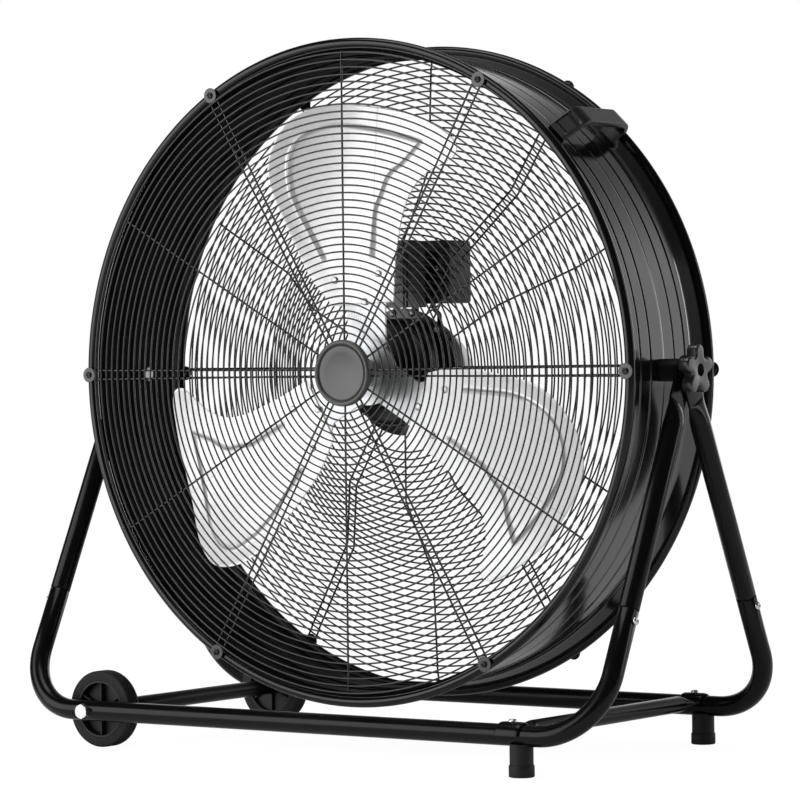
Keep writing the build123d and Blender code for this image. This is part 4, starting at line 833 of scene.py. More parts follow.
@dataclass
class TubeFrame(Assembly):
    """Two bent floor tubes, four legs with flattened ends, and the screws that join them."""

    rail_height: float = 47.5
    rail_spread: float = 206.0
    tube: float = 12.5
    wall: float = 1.4
    bend: float = 80.0
    leg_offset: float = 422.6
    joint: float = 157.9
    swage: float = 11.0
    swage_length: float = 45.0
    tube_end: float = 389.76
    pad_end: float = 421.76
    pivot: float = 463.76
    pad_width: float = 17.5
    pad_half: float = 2.0
    mouth_edge: float = 0.6
    mouth_round: float = 0.4
    joint_gap: float = 1.7
    screw_drop: float = 12.0

    @property
    def lean(self) -> float:
        """Angle between a leg and the upright."""
        return math.atan2(self.rail_spread, HUB - self.rail_height)

    def leg_place(self, side: float) -> Place:
        """Plane of a frame: x right, y up along the legs.

        Args:
            side: -1 for the front frame, 1 for the rear one.

        Returns:
            The place, at the middle of the floor tube.
        """
        lean = self.lean
        along = (0.0, -side * math.sin(lean), math.cos(lean))
        normal = (0.0, -math.cos(lean), -side * math.sin(lean))
        return Place((0.0, side * self.rail_spread, self.rail_height), (1.0, 0.0, 0.0), along, normal)

    def build(self) -> None:
        """Build and dress every piece of the frame."""
        for side, side_name in SIDES:
            self.lower_tube(side, side_name)
            for hand, hand_name in HANDS:
                self.leg(side, side_name, hand, hand_name)
        self.leg_screws()

    def lower_tube(self, side: float, side_name: str) -> None:
        """Build a round tube along a rounded U, its mouths rolled over the wall and closed inside.

        Args:
            side: -1 for the front frame, 1 for the rear one.
            side_name: Name of that side.
        """
        x, top = self.leg_offset, self.joint
        line = rounded_path(((-x, top), (-x, 0.0), (x, 0.0), (x, top)), self.bend, 24)
        place = self.leg_place(side)
        path = place.put(np.column_stack((line, np.zeros(len(line)))))
        outer = carry(path, circle(self.tube, 40), place.z)
        surface = Surface()
        for edge, inward in ((outer[0], path[1] - path[0]), (outer[-1], path[-2] - path[-1])):
            middle, step = edge.mean(axis=0), unit(inward)
            lip, hole = 1.0 - self.mouth_round / self.tube, 1.0 - self.wall / self.tube
            shape = ((1.0, self.mouth_edge), (lip, 0.0), (hole, 0.0), (0.88, 8.0), (0.0, 8.0))
            rows = [middle + (edge - middle) * share + step * depth for share, depth in shape]
            surface.add(np.stack(rows))
        body = outer.copy()
        body[0] += unit(path[1] - path[0]) * self.mouth_edge
        body[-1] += unit(path[-2] - path[-1]) * self.mouth_edge
        surface.add(body)
        self.finish(f"{side_name}_floor_tube", surface, FRAME_COAT, [f"{side_name}_lower_tube"])

    def leg(self, side: float, side_name: str, hand: float, hand_name: str) -> None:
        """Build a leg tube drawn in at the foot and pressed flat at the top.

        The outline at a height is a mix of a circle and a thin rounded bar. The circle's share goes
        from 1 to 0 as the sine of a quarter turn measured down from the flat end, which leaves a
        crease where the flat begins. Past the pivot the bar's half width is the side of a circle.

        Args:
            side: -1 for the front frame, 1 for the rear one.
            side_name: Name of that side.
            hand: 1 for the right leg, -1 for the left one.
            hand_name: Name of that hand.
        """
        seam = self.joint + self.joint_gap
        drawn = (self.joint - self.swage_length, seam, seam, seam + self.mouth_edge)
        press = self.pad_end - (self.pad_end - self.tube_end) * np.linspace(1.0, 0.0, 26) ** 1.6
        end = np.radians(np.linspace(0.0, 86.0, 14))
        along = np.concatenate((drawn, press, self.pivot + self.pad_width * np.sin(end)))
        below = np.clip((self.pad_end - along) / (self.pad_end - self.tube_end), 0.0, 1.0)
        share = np.sin(below * math.pi / 2) ** 0.7
        angle = full_turn(48)
        round_radius = np.full(len(along), self.tube)
        round_radius[:2] = self.swage
        round_radius[2] -= self.mouth_edge / 2
        past = (along - self.pivot) / self.pad_width
        narrowed = np.where(along > self.pivot, np.sqrt(np.clip(1.0 - past**2, 0.0, 1.0)), 1.0)
        bar_width = self.pad_width * narrowed
        thick = np.sign(np.sin(angle)) * np.abs(np.sin(angle)) ** 0.25 * self.pad_half
        wide = bar_width[:, None] * np.cos(angle)
        flat = np.stack((np.broadcast_to(thick, wide.shape), wide), axis=-1)
        tube = round_radius[:, None, None] * np.stack((np.sin(angle), np.cos(angle)), axis=-1)
        mix = share[:, None, None]
        outline = mix * tube + (1.0 - mix) * flat
        shift = hand * side * self.pad_half * (1.0 - share)
        place = self.leg_place(side)
        local = np.stack(
            (
                hand * self.leg_offset + hand * (outline[..., 0] + hand * shift[:, None]),
                np.broadcast_to(along[:, None], outline.shape[:2]),
                outline[..., 1],
            ),
            axis=-1,
        )
        name = f"{side_name}_{hand_name}_leg"
        self.finish(f"{name}_tube", Surface().add(place.put(capped(local))), FRAME_COAT, [name], 30.0)

    def leg_screws(self) -> None:
        """Build the round heads on the outer sides of the leg joints."""
        surface = Surface()
        for side, _ in SIDES:
            place = self.leg_place(side)
            for hand, _ in HANDS:
                side_wall = hand * (self.leg_offset + self.tube)
                seat = place.put(np.array((side_wall, self.joint - self.screw_drop, 0.0)))
                surface.add(screw_head(Place.facing(seat, (hand, 0.0, 0.0)), 4.8, 3.4))
        self.finish("leg_joint_screws", surface, ZINC_PLATE, ["leg_screws"])


@dataclass
class CrossBrace(Assembly):
    """Brace between the rails with flattened ends over them, its screws and the two rubber feet."""

    rail_height: float = 47.5
    rail_spread: float = 206.0
    rail: float = 12.5
    x: float = 309.0
    radius: float = 10.0
    rise: float = 4.0
    round_end: float = 164.0
    saddle_start: float = 187.0
    saddle: float = 14.05
    saddle_width: float = 32.0
    saddle_thickness: float = 3.0
    foot_x: float = 320.5
    foot_cut: float = 25.0
    foot_recess: tuple[Pair, ...] = ((0.0, 7.0), (5.2, 7.0), (5.2, 0.0))
    foot_collar_wall: tuple[Pair, ...] = ((13.6, 0.0), (14.7, 0.5), (15.0, 1.6), (15.0, 12.6), (14.7, 13.6))
    foot_stem: tuple[Pair, ...] = ((13.9, 14.0), (13.85, 20.0), (13.85, 34.0))
    foot_top_radii: tuple[float, ...] = (13.6, 12.6, 11.0, 9.0, 6.0, 3.0, 0.0)
    foot_top: float = 38.0

    @property
    def foot_profile(self) -> tuple[Pair, ...]:
        """Half section of a foot (radius, height) from its screw recess round to its top's middle."""
        top = tuple((r, self.foot_top) for r in self.foot_top_radii)
        return self.foot_recess + self.foot_collar_wall + self.foot_stem + top

    def build(self) -> None:
        """Build and dress every piece of the brace."""
        self.brace()
        self.screws()
        self.feet()

    def brace(self) -> None:
        """Round tube whose ends are pressed flat and bent over the rails.

        The path runs level, turns up beside the rail and follows a half circle over it. The outline
        goes from a circle to a thin rounded bar between the round end and the saddle.
        """
        height = self.rail_height + self.rise
        over = arc((self.rail_spread, self.rail_height), self.saddle, 157.0, 0.0, 30)
        level = np.stack((np.linspace(self.round_end, self.saddle_start, 14), np.full(14, height)), axis=-1)
        turn = smooth_line((level[-2], level[-1], (190.6, height + 0.4), over[0], over[1]), 4)[5:12]
        half = np.concatenate((level, turn, over))
        line = np.concatenate((half[::-1] * (-1.0, 1.0), half))
        path = np.column_stack((np.full(len(line), self.x), line))
        reach = np.abs(line[:, 0])
        share = ease((reach - self.round_end) / (self.saddle_start - self.round_end))[:, None, None]
        share[: len(over)] = 1.0
        share[-len(over) :] = 1.0
        angle = full_turn(48)
        tube = self.radius * np.stack((np.cos(angle), np.sin(angle)), axis=-1)
        wide = self.saddle_width / 2 * np.sign(np.cos(angle)) * np.abs(np.cos(angle)) ** 0.3
        bar = np.stack((wide, self.saddle_thickness / 2 * np.sin(angle)), axis=-1)
        outline = (1.0 - share) * tube + share * bar
        across = np.array((1.0, 0.0, 0.0))
        lift = np.cross(across, headings(path))
        grid = path[:, None] + outline[..., :1] * across + outline[..., 1:] * lift[:, None]
        self.finish("saddled_brace", Surface().add(capped(grid)), FRAME_COAT, ["cross_brace"], 32.0)

    def screws(self) -> None:
        """Pan heads on top of the saddles."""
        surface = Surface()
        top = self.rail_height + self.rail + self.saddle_thickness + 0.1
        for side, _ in SIDES:
            surface.add(screw_head(Place.facing((self.x, side * self.rail_spread, top), UP), 5.0, 3.2))
        self.finish("saddle_screws", surface, ZINC_PLATE, ["brace_screws"])

    def feet(self) -> None:
        """Round feet cut out on top to sit round the rail.

        Above the collar a point's height is the lower of the stem's and the rail's underside, which is
        the rail's height less the root of its radius squared less the distance beside it squared.
        """
        surface = Surface()
        for side, _ in SIDES:
            grid = turned(self.foot_profile, Place((self.foot_x, side * self.rail_spread, 0.0)), 72)
            beside = np.clip(np.abs(grid[..., 1] - side * self.rail_spread), 0.0, self.rail + SEAT)
            under = self.rail_height - np.sqrt((self.rail + SEAT) ** 2 - beside**2)
            high = grid[..., 2] > self.foot_cut
            grid[..., 2] = np.where(high, np.minimum(grid[..., 2], under), grid[..., 2])
            surface.add(grid)
        self.finish("foot_bushes", surface, FOOT_RUBBER, ["rubber_feet"])


# ---- Axle and wheels --------------------------------------------------------------------------


@dataclass
class Axle(Assembly):
    """Axle tube between the wheels and the hexagonal bolts that hold them."""

    x: float = -317.0
    height: float = 47.5
    radius: float = 10.0
    half_length: float = 166.2
    head_depth: float = 218.55
    head_across: float = 17.0
    head_height: float = 6.4
    shank: float = 5.0
    shank_length: float = 70.0

    def build(self) -> None:
        """Build and dress the tube and the bolts."""
        centre = Place.facing((self.x, 0.0, self.height), TO_BACK)
        half, outer, inner = self.half_length, self.radius, self.radius - 1.5
        wall = ((outer - 0.4, -half), (outer, 0.4 - half), (outer, half - 0.4), (outer - 0.4, half))
        profile = wall + ((inner, half), (inner, -half))
        tube = Surface().add(turned(profile, centre, 48), True)
        self.finish("wheel_axle_tube", tube, FRAME_COAT, ["axle_tube"])
        surface = Surface()
        for side, _ in SIDES:
            seat = Place.facing((self.x, side * self.head_depth, self.height), (0.0, side, 0.0))
            surface.add(hex_head(seat, self.head_across, self.head_height))
            r, end = self.shank, -self.shank_length
            shank = ((0.0, 0.0), (r, 0.0), (r, end), (0.0, end))
            surface.add(turned(shank, seat, 32))
        self.finish("axle_hex_bolts", surface, ZINC_PLATE, ["axle_bolts"])


@dataclass
class Wheel(Assembly):
    """Moulded wheel with a dished, ribbed web, and its grooved tyre."""

    side: float = -1.0
    x: float = -317.0
    height: float = 47.5
    centre: float = 177.0
    half_width: float = 10.5
    rim: float = 36.0
    rim_inner: float = 32.5
    boss: float = 10.0
    bore: float = 5.05
    web: float = 2.0
    dish: float = 1.5
    rib_half: float = 1.3
    rib_depth: float = 8.0
    ribs: int = 6
    tyre: float = 47.5
    corner: float = 2.2
    groove: float = 1.6
    grooves: Triple = (-4.6, 0.0, 4.6)

    @property
    def place(self) -> Place:
        """Middle of the wheel, with z outwards."""
        return Place.facing((self.x, self.side * self.centre, self.height), (0.0, self.side, 0.0))

    def build(self) -> None:
        """Build and dress the wheel and its tyre."""
        self.moulding()
        self.tread()

    def face_depth(self, radius: np.ndarray, angle: np.ndarray, outward: float) -> np.ndarray:
        """Depth of one face of the moulding.

        The web lies at its dish plus or less half its thickness. The ribs, boss and rim stand over it,
        each as its own height times a smooth step of the distance into it, and the tallest counts.

        Args:
            radius: Distances from the axle.
            angle: Angles round it, of the same shape.
            outward: 1 for the outer face, -1 for the inner one.

        Returns:
            Depths of the same shape, outwards from the wheel's middle.
        """
        turn = 2 * math.pi / self.ribs
        off = (angle - math.pi / 2 + turn / 2) % turn - turn / 2
        beside = np.abs(radius * np.sin(off))
        low = -self.dish * outward + self.web
        rib = (self.rib_depth - low) * ease((self.rib_half - beside) / 0.7 + 0.5)
        boss = (self.half_width - low) * ease((self.boss - radius) / 0.8 + 0.5)
        rim = (self.half_width - low) * ease((radius - self.rim_inner) / 0.8 + 0.5)
        return outward * (low + np.maximum(np.maximum(rib, boss), rim))

    def moulding(self) -> None:
        """Both faces as polar grids, joined by the bore inside and the rim's outer wall."""
        steps = (
            np.linspace(self.bore, 9.4, 6),
            np.linspace(9.6, 10.4, 4),
            np.linspace(12.0, 31.0, 14),
            np.linspace(32.1, 32.9, 4),
            (34.5, self.rim - 0.5, self.rim),
        )
        radii = np.concatenate(steps)
        r, a = np.meshgrid(radii, full_turn(320), indexing="ij")
        faces = [self.face_depth(r, a, outward) for outward in (1.0, -1.0)]
        rounding = np.where(r >= self.rim - 1e-6, 0.5, 0.0)
        local = [
            np.stack((r * np.cos(a), r * np.sin(a), depth - sign * rounding), axis=-1)
            for depth, sign in zip(faces, (1.0, -1.0))
        ]
        grid = np.concatenate((local[0], local[1][::-1]))
        name = "front_wheel" if self.side < 0 else "rear_wheel"
        surface = Surface().add(self.place.put(grid), closed_rows=True)
        self.finish(f"{name}_moulding", surface, WHEEL_MOULDED, [name], 42.0)

    def tread(self) -> None:
        """Closed tyre profile turned round the axle: rounded shoulders and square grooves with soft lips."""
        half, inner, corner, deep = self.half_width, self.rim + SEAT, self.corner, self.groove
        points = [(inner, half), (inner, -half)]
        points += list(arc((self.tyre - corner, corner - half), corner, -90.0, 0.0, 7))
        for offset in self.grooves:
            lip, mouth = 0.35, self.groove / 2
            points += [
                (self.tyre, offset - mouth - lip),
                (self.tyre - lip, offset - mouth),
                (self.tyre - deep, offset - mouth + 0.1),
                (self.tyre - deep, offset + mouth - 0.1),
                (self.tyre - lip, offset + mouth),
                (self.tyre, offset + mouth + lip),
            ]
        points += list(arc((self.tyre - corner, half - corner), corner, 0.0, 90.0, 7))
        name = "front_tyre" if self.side < 0 else "rear_tyre"
        surface = Surface().add(turned(points, self.place, 128), closed_rows=True)
        self.finish(f"{name}_tread", surface, TYRE_RUBBER, [name])


# ---- Drum -------------------------------------------------------------------------------------

AXIS = Place.facing((0.0, 0.0, HUB), TO_BACK)
FRONT_AXIS = Place.facing((0.0, 0.0, HUB), TO_FRONT)


def spoke_place(angle: float) -> Place:
    """Place at the hub with x outwards at an angle in degrees, y beside it and z to the front."""
    a = math.radians(angle)
    return Place((0.0, 0.0, HUB), (math.cos(a), 0.0, math.sin(a)), (-math.sin(a), 0.0, math.cos(a)), TO_FRONT)


@dataclass
class Drum(Assembly):
    """Rolled steel barrel with pressed grooves and beaded rims."""

    body: str = "drum"
    radius: float = 391.0
    wall: float = 1.5
    rim_circle: float = 401.0
    bead: float = 6.25
    rim_depth: float = 90.0
    front_flare: float = 78.0
    rear_flare: float = 62.0
    grooves: tuple[float, ...] = (-50.0, -27.0, 2.0, 27.0, 52.0)
    groove_half: float = 2.1
    sinks: tuple[float, ...] = (1.7, 1.7, 0.35, 1.3, 1.7)

    def skin(self, depth: np.ndarray) -> np.ndarray:
        """Outer radius of the sheet at a depth.

        The radius less a raised cosine of the groove's sink at each groove, plus a flare that starts
        as a curve and goes on in a straight line to the rim's circle.

        Args:
            depth: Distances behind the drum's middle.

        Returns:
            Radii of the same shape.
        """
        sink = sum(
            sink * 0.5 * (1.0 + np.cos(np.clip((depth - groove) / self.groove_half, -1.0, 1.0) * math.pi))
            for groove, sink in zip(self.grooves, self.sinks)
        )
        start = np.where(depth < 0.0, self.front_flare, self.rear_flare)
        share = np.clip((np.abs(depth) - start) / (self.rim_depth - start), -0.12, 1.0)
        flare = np.where(share < 0.12, (share + 0.12) ** 2 / 0.48, share)
        return self.radius - sink + (self.rim_circle - self.radius) * flare

    def build(self) -> None:
        """Build and dress the barrel: the sheet between the beads, the two beads and the dull inside."""
        lip = self.rim_depth - 5.0
        around = self.groove_half * np.concatenate(((-2.2, -1.3), np.linspace(-1.0, 1.0, 11), (1.3, 2.2)))
        fine = [groove + around for groove in self.grooves]
        flares = [-np.linspace(self.front_flare - 2.0, lip, 9), np.linspace(self.rear_flare - 4.0, lip, 14)]
        depth = np.unique(np.concatenate(fine + flares))
        outside, middle, inside = (
            np.stack((self.skin(depth) - lift, depth), axis=-1) for lift in (0.0, self.wall - 0.4, self.wall)
        )
        surface = Surface().add(turned(np.concatenate((outside, middle[::-1])), AXIS, 320), closed_rows=True)
        self.finish("rolled_barrel", surface, DRUM_COAT, ["barrel"], 50.0)
        beads = Surface()
        for side, _ in SIDES:
            bead = circle(self.bead, 24) + (self.rim_circle, side * self.rim_depth)
            beads.add(turned(bead, AXIS, 320), closed_rows=True)
        self.finish("beaded_rims", beads, DRUM_RIM, ["barrel"], 50.0)
        lining = Surface().add(turned(np.concatenate((middle, inside[::-1])), AXIS, 320), closed_rows=True)
        self.finish("dull_inner_coat", lining, DRUM_INSIDE, ["barrel"], 50.0)


@dataclass
class Guards(Assembly):
    """Welded wire guards in front and behind, with the hub cap and the rim fasteners."""

    body: str = "drum"
    spoke: float = 1.25
    ring: float = 1.1
    rings: int = 39
    outer_ring: float = 389.4
    inner_ring: float = 49.0
    spoke_depth: float = 97.55
    stand_off: float = 2.38
    start: float = 30.0
    rim: float = 400.0
    half_rim: float = 5.7
    half_hub: float = 3.65
    bend: float = 5.0
    rear_line: tuple[Pair, ...] = (
        (400.0, 97.55),
        (385.0, 97.55),
        (379.0, 95.75),
        (255.0, 89.0),
        (161.0, 30.0),
        (75.0, 30.0),
    )
    rear_start: float = 10.6
    rear_pitch: float = 9.3
    rear_inner: float = 96.0
    washer: float = 9.4
    washer_depth: float = 98.85
    washer_thickness: float = 1.2
    screw: float = 4.0
    screw_height: float = 2.6
    cap: float = 40.5
    cap_base: float = 98.85
    cap_depth: float = 7.4
    cap_bead: float = 3.0
    disc: float = 38.0
    disc_depths: Pair = (94.25, 96.25)

    def build(self) -> None:
        """Build and dress every piece of the two guards."""
        self.front_rings()
        self.rear_rings()
        self.front_spokes()
        self.rear_spokes()
        self.hub()
        self.fasteners()

    def ring_set(self, places: np.ndarray) -> Surface:
        """Closed rings of wire.

        Args:
            places: Radius and depth of each ring.

        Returns:
            A surface with all of them.
        """
        surface = Surface()
        for place in places:
            surface.add(turned(circle(self.ring, 8) + place, AXIS, 192), closed_rows=True)
        return surface

    def front_rings(self) -> None:
        """Rings at one depth, evenly spaced from the rim to the hub."""
        radii = np.linspace(self.outer_ring, self.inner_ring, self.rings)
        depth = np.full(self.rings, -self.spoke_depth - self.stand_off)
        surface = self.ring_set(np.stack((radii, depth), axis=-1))
        self.finish("front_guard_wire_rings", surface, WIRE_COAT, ["front_guard_rings"], 60.0)

    def rear_rings(self) -> None:
        """Rings evenly spaced along the rear outline, off its rear side by the stand-off."""
        line = np.array(self.rear_line)
        reach = line_length(line) - (self.rear_inner - line[-1, 0]) - self.rear_start
        reaches = self.rear_start + self.rear_pitch * np.arange(int(reach / self.rear_pitch) + 1)
        place = even_points(line, reaches)
        ahead = unit(even_points(line, reaches + 0.01) - even_points(line, reaches - 0.01))
        surface = self.ring_set(place + self.stand_off * np.stack((ahead[:, 1], -ahead[:, 0]), axis=-1))
        self.finish("rear_guard_wire_rings", surface, WIRE_COAT, ["rear_guard_rings"], 60.0)

    def wire(self, surface: Surface, place: Place, line: np.ndarray, up: Triple) -> None:
        """Round wire along local points, added to a surface."""
        surface.add(capped(carry(place.put(line), circle(self.spoke, 12), up)))

    def front_spokes(self) -> None:
        """Six hairpins and six single wires, flat across the front."""
        surface = Surface()
        loop = arc((self.rim, 0.0), self.half_rim, 90.0, -90.0, 13)
        hairpin = np.concatenate((((self.start, self.half_hub),), loop, ((self.start, -self.half_hub),)))
        single = np.array(((self.start, 0.0), (self.outer_ring + 2.0, 0.0)))
        for index in range(6):
            for line, angle in ((hairpin, 60.0 * index), (single, 60.0 * index + 30.0)):
                place = spoke_place(angle)
                points = np.column_stack((line, np.full(len(line), self.spoke_depth)))
                self.wire(surface, place, points, place.z)
        self.finish("front_guard_wire_spokes", surface, WIRE_COAT, ["front_guard_spokes"], 60.0)

    def rear_spokes(self) -> None:
        """Six hairpins and six single wires that follow the rear outline, bent at its corners."""
        surface = Surface()
        outline = np.array(self.rear_line)[::-1]
        leg = rounded_path([(r, 0.0, -d) for r, d in outline], self.bend, 7)
        loop = arc((self.rim, 0.0), self.half_rim, 90.0, -90.0, 13)[1:-1]
        loop = np.column_stack((loop, np.full(len(loop), -self.spoke_depth)))
        beside = np.array((0.0, self.half_rim, 0.0))
        hairpin = np.concatenate((leg + beside, loop, leg[::-1] - beside))
        single = np.concatenate((leg[:-1], ((self.outer_ring + 2.0, 0.0, -self.spoke_depth),)))
        for index in range(6):
            for line, angle in ((hairpin, 60.0 * index), (single, 60.0 * index + 30.0)):
                place = spoke_place(angle)
                self.wire(surface, place, line, self.steady_up(place))
        self.finish("rear_guard_wire_spokes", surface, WIRE_COAT, ["rear_guard_spokes"], 60.0)

    @staticmethod
    def steady_up(place: Place) -> Triple:
        """Direction that no run of a spoke lies along: mostly to the front, a little beside and outwards."""
        mix = np.array(place.z) * 0.9 - np.array(place.x) * 0.35
        return tuple(unit(mix))

    def hub(self) -> None:
        """Plate behind the spokes and the dished cap with a rolled edge in front of them."""
        (back, face), r, flat = self.disc_depths, self.disc, self.disc - 0.5
        plate = ((0.0, back), (flat, back), (r, back + 0.45), (r, face - 0.45), (flat, face), (0.0, face))
        surface = Surface().add(turned(plate, FRONT_AXIS, 96))
        self.finish("guard_hub_disc", surface, WIRE_COAT, ["front_guard_hub_plate"])
        base, top = self.cap_base, self.cap_base + self.cap_depth
        bead = arc((self.cap - self.cap_bead, top - self.cap_bead), self.cap_bead, 0.0, 165.0, 16)
        dish = ((34.5, top - 2.9), (34.2, top - 3.0), (33.7, top - 2.4), (33.0, top - 1.7), (31.5, top - 1.5))
        dish += ((24.0, top - 2.9), (16.0, top - 4.0), (8.0, top - 4.7), (0.0, top - 5.0))
        profile = np.concatenate((((0.0, base), (self.cap - 0.4, base), (self.cap, base + 0.4)), bead, dish))
        cap = Surface().add(turned(profile, FRONT_AXIS, 128))
        self.finish("dished_hub_cap", cap, CAP_MOULDED, ["front_hub_cap"])

    def fasteners(self) -> None:
        """Washers and screw heads on both rims."""
        washers, screws = Surface(), Surface()
        for side, _ in SIDES:
            for index in range(6):
                angle = math.radians(60.0 * index)
                x, z = self.rim * math.cos(angle), HUB + self.rim * math.sin(angle)
                out = (0.0, side, 0.0)
                seat = Place.facing((x, side * self.washer_depth, z), out)
                washers.add(turned(drilled_ring(self.washer, 3.0, self.washer_thickness), seat, 48), True)
                top = side * (self.washer_depth + self.washer_thickness + SEAT)
                screws.add(screw_head(Place.facing((x, top, z), out), self.screw, self.screw_height))
        self.finish("guard_clamp_washers", washers, WASHER_STEEL, ["guard_washers"])
        self.finish("guard_pan_screws", screws, BLACK_OXIDE, ["guard_screws"])


@dataclass
class CarryHandle(Assembly):
    """Moulded strap handle on the upper right of the drum, and its screws inside."""

    body: str = "drum"
    angle: float = 46.0
    wall: float = 391.0
    feet: Pair = (-43.0, 73.0)
    grip: Pair = (-21.0, 80.0)
    width: float = 27.0
    height: float = 34.0
    thickness: float = 8.0
    bends: Pair = (20.0, 13.0)
    border: float = 2.4
    pocket: float = 1.6
    foot_lift: float = 1.4
    screw_shift: float = 1.5
    screw_seat: float = 388.25
    steps: int = 110

    @property
    def place(self) -> Place:
        """On the barrel's wall: x to the back, y outwards, z across the strap.

        Returns:
            The place.
        """
        a = math.radians(self.angle)
        out = (math.cos(a), 0.0, math.sin(a))
        origin = (self.wall * out[0], 0.0, HUB + self.wall * out[2])
        return Place(origin, TO_BACK, out, tuple(np.cross(TO_BACK, out)))

    def build(self) -> None:
        """Build and dress the strap and its screws."""
        self.strap()
        surface = Surface()
        out = np.array(self.place.y)
        for foot in self.feet:
            seat = np.array((0.0, foot + self.screw_shift, HUB)) + out * self.screw_seat
            surface.add(screw_head(Place.facing(seat, -out), 5.0, 3.0))
        self.finish("handle_pan_screws", surface, BLACK_OXIDE, ["handle_screws"])

    def strap(self) -> None:
        """Rounded bar carried along the handle's bent line, with a pocket sunk in its front leg.

        The outer face drops by the pocket's depth inside a border. The drop fades in past the foot and
        out before the grip, each as a smooth step along the line.
        """
        middle = self.height - self.thickness / 2
        slopes = [(g - f) / middle for g, f in zip(self.grip, self.feet)]
        start, end = ((foot, 0.0) for foot in self.feet)
        bent = rounded_path((start, *((grip, middle) for grip in self.grip), end), self.bends, 16)
        bent[0] = (self.feet[0] + slopes[0] * self.foot_lift, self.foot_lift)
        bent[-1] = (self.feet[1] + slopes[1] * self.foot_lift, self.foot_lift)
        reach = np.linspace(0.0, line_length(bent), self.steps)
        line = even_points(bent, reach)
        place = self.place
        path = place.put(np.column_stack((line, np.zeros(len(line)))))
        half_width, half_thick = self.width / 2, self.thickness / 2
        top = np.array((half_width - 1.5, half_width - self.border, half_width - self.border - 0.6, 6.0, 2.0))
        face = np.concatenate((top, -top[::-1]))
        sides = round_rectangle(self.width, self.thickness, 1.5, 5)
        upper = np.stack((face, np.full(len(face), half_thick)), axis=-1)
        outline = np.concatenate((sides[:5], upper[1:-1], sides[5:]))
        fade = ease((reach - 8.0) / 1.5) * ease((30.0 - reach) / 7.0)
        between = np.abs(outline[:, 0]) < half_width - self.border - 0.1
        inside = between & (outline[:, 1] > half_thick - 0.01)
        shape = np.broadcast_to(outline, (len(path),) + outline.shape).copy()
        shape[..., 1] -= self.pocket * fade[:, None] * inside
        ahead = headings(path)
        across = np.broadcast_to(np.array(place.z), ahead.shape)
        outwards = np.cross(across, ahead)
        grid = path[:, None] + shape[..., :1] * across[:, None] + shape[..., 1:] * outwards[:, None]
        foot = np.linalg.norm(grid[..., (0, 2)] - (0.0, HUB), axis=-1)
        low = foot < self.wall + 0.1
        scale = np.where(low, (self.wall + 0.1) / foot, 1.0)
        grid[..., 0] *= scale
        grid[..., 2] = HUB + (grid[..., 2] - HUB) * scale
        surface = Surface().add(capped(grid))
        self.finish("strap_handle", surface, HANDLE_MOULDED, ["carry_handle"], 30.0)


# ---- Pivot ------------------------------------------------------------------------------------


@dataclass
class Pivot(Assembly):
    """Spacers, washers and studs between the drum and the legs."""

    body: str = "drum"
    spacer: float = 13.5
    spacer_span: Pair = (391.05, 418.55)
    washer: float = 12.0
    washer_start: float = 426.65
    washer_thickness: float = 1.4
    stud: float = 5.0
    stud_seat: float = 387.99
    head_across: float = 16.0
    head_height: float = 6.4
    shank_end: float = -46.8

    def build(self) -> None:
        """Build and dress the pieces on both sides."""
        spacers, washers, studs = Surface(), Surface(), Surface()
        start, end = self.spacer_span
        hole, tip = self.stud + 0.1, self.shank_end
        for hand, _ in HANDS:
            out = (hand, 0.0, 0.0)
            base = Place.facing((hand * start, 0.0, HUB), out)
            spacers.add(turned(drilled_ring(self.spacer, hole, end - start, 1.0), base, 72), True)
            seat = Place.facing((hand * self.washer_start, 0.0, HUB), out)
            washers.add(turned(drilled_ring(self.washer, hole, self.washer_thickness), seat, 64), True)
            inside = Place.facing((hand * self.stud_seat, 0.0, HUB), (-hand, 0.0, 0.0))
            studs.add(hex_head(inside, self.head_across, self.head_height))
            shank = ((0.0, 1.0), (self.stud, 1.0), (self.stud, tip), (0.0, tip))
            studs.add(turned(shank, inside, 32))
        self.finish("pivot_sleeves", spacers, SPACER_MOULDED, ["pivot_spacers"])
        self.finish("pivot_flat_washers", washers, ZINC_PLATE, ["pivot_washers"])
        self.finish("pivot_hex_studs", studs, ZINC_PLATE, ["pivot_studs"])


